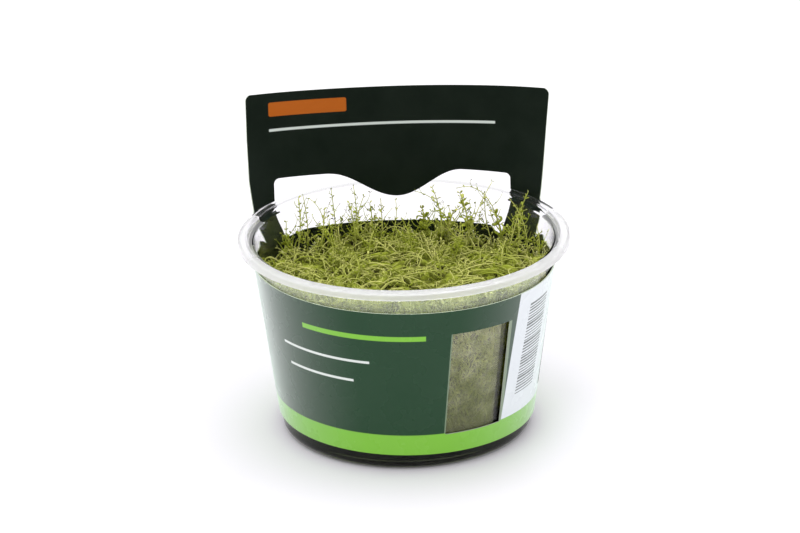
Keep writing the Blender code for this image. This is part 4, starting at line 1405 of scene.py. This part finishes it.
def make_surround(settings):
    """White all round and overhead, with an unlit room in front; a plain white background."""
    world = bpy.data.worlds.new("studio")
    bpy.context.scene.world = world
    world.use_nodes = True
    tree = world.node_tree
    way = node(tree, "ShaderNodeTexCoord").outputs["Generated"]
    parts = node(tree, "ShaderNodeSeparateXYZ", {"Vector": way}).outputs
    ahead = ranged(tree, parts[1], -0.75, -0.15, 1.0, 0.0)
    low = ranged(tree, parts[2], 0.35, 0.75, 1.0, 0.0)
    dark = calc(tree, "MULTIPLY", ahead, low)
    rays = node(tree, "ShaderNodeLightPath").outputs
    drop = ranged(tree, rays["Is Diffuse Ray"], 0.0, 1.0, settings.front - settings.surround, settings.fill - settings.surround)
    glow = calc(tree, "MULTIPLY_ADD", dark, drop, settings.surround)
    seen = rays["Is Camera Ray"]
    strength = node(tree, "ShaderNodeMix", data_type="FLOAT")
    feed(tree, strength.inputs[0], seen)
    feed(tree, strength.inputs[2], glow)
    feed(tree, strength.inputs[3], 1.0)
    feed(tree, tree.nodes["Background"].inputs["Color"], (1.0, 1.0, 1.0, 1.0))
    feed(tree, tree.nodes["Background"].inputs["Strength"], strength.outputs[0])


def make_light(settings):
    data = bpy.data.lights.new("top_softbox", "AREA")
    data.shape = "RECTANGLE"
    data.size, data.size_y = 1.4, 1.0
    data.energy = settings.top_power
    made = bpy.data.objects.new("top_softbox", data)
    bpy.context.scene.collection.objects.link(made)
    made.location = (-0.06, 0.12, 1.3)
    made.rotation_euler = (Vector((0, 0, 0.04)) - made.location).to_track_quat("-Z", "Y").to_euler()


def make_camera():
    data = bpy.data.cameras.new("photo_camera")
    data.sensor_width = CAMERA_SENSOR_MM
    data.lens = CAMERA_LENS_MM
    made = bpy.data.objects.new("photo_camera", data)
    bpy.context.scene.collection.objects.link(made)
    forward = Vector(CAMERA_FORWARD).normalized()
    up = Vector(CAMERA_UP).normalized()
    turn = Matrix((forward.cross(up), up, -forward)).transposed()
    made.matrix_world = Matrix.Translation(Vector(CAMERA_PLACE_MM) * MM) @ turn.to_4x4()
    bpy.context.scene.camera = made


class PearlweedPanel(bpy.types.Panel):
    """Lists the pieces in the order they are made"""

    bl_idname = "VIEW3D_PT_pearlweed"
    bl_label = "Pearlweed cup"
    bl_space_type = "VIEW_3D"
    bl_region_type = "UI"
    bl_category = "Pearlweed cup"

    def draw(self, context):
        for group_name, operators in PANEL_ROWS:
            box = self.layout.box()
            settings = getattr(context.scene, group_name)
            for name in settings.__annotations__:
                box.prop(settings, name)
            for operator in operators:
                box.operator(operator.bl_idname)


PANEL_ROWS = (
    ("pearlweed_cup", (MakeCup, MakeJelly)),
    ("pearlweed_card", (MakeCard,)),
    ("pearlweed_plants", (MakeTangle, MakeSprigs)),
    ("pearlweed_stage", (MakeStage,)),
)
SETTINGS = {
    "pearlweed_cup": CupSettings,
    "pearlweed_card": CardSettings,
    "pearlweed_plants": PlantSettings,
    "pearlweed_stage": StageSettings,
}
CLASSES = (MakeCup, MakeCard, MakeJelly, MakeTangle, MakeSprigs, MakeStage, PearlweedPanel)


def register():
    for name, group in SETTINGS.items():
        bpy.utils.register_class(group)
        setattr(bpy.types.Scene, name, bpy.props.PointerProperty(type=group))
    for made in CLASSES:
        bpy.utils.register_class(made)


def unregister():
    for made in reversed(CLASSES):
        bpy.utils.unregister_class(made)
    for name, group in SETTINGS.items():
        delattr(bpy.types.Scene, name)
        bpy.utils.unregister_class(group)


def main():
    register()
    bpy.ops.pearlweed.cup()
    bpy.ops.pearlweed.card()
    bpy.ops.pearlweed.jelly()
    bpy.ops.pearlweed.tangle()
    bpy.ops.pearlweed.sprigs()
    bpy.ops.pearlweed.stage()


if __name__ == "__main__":
    main()
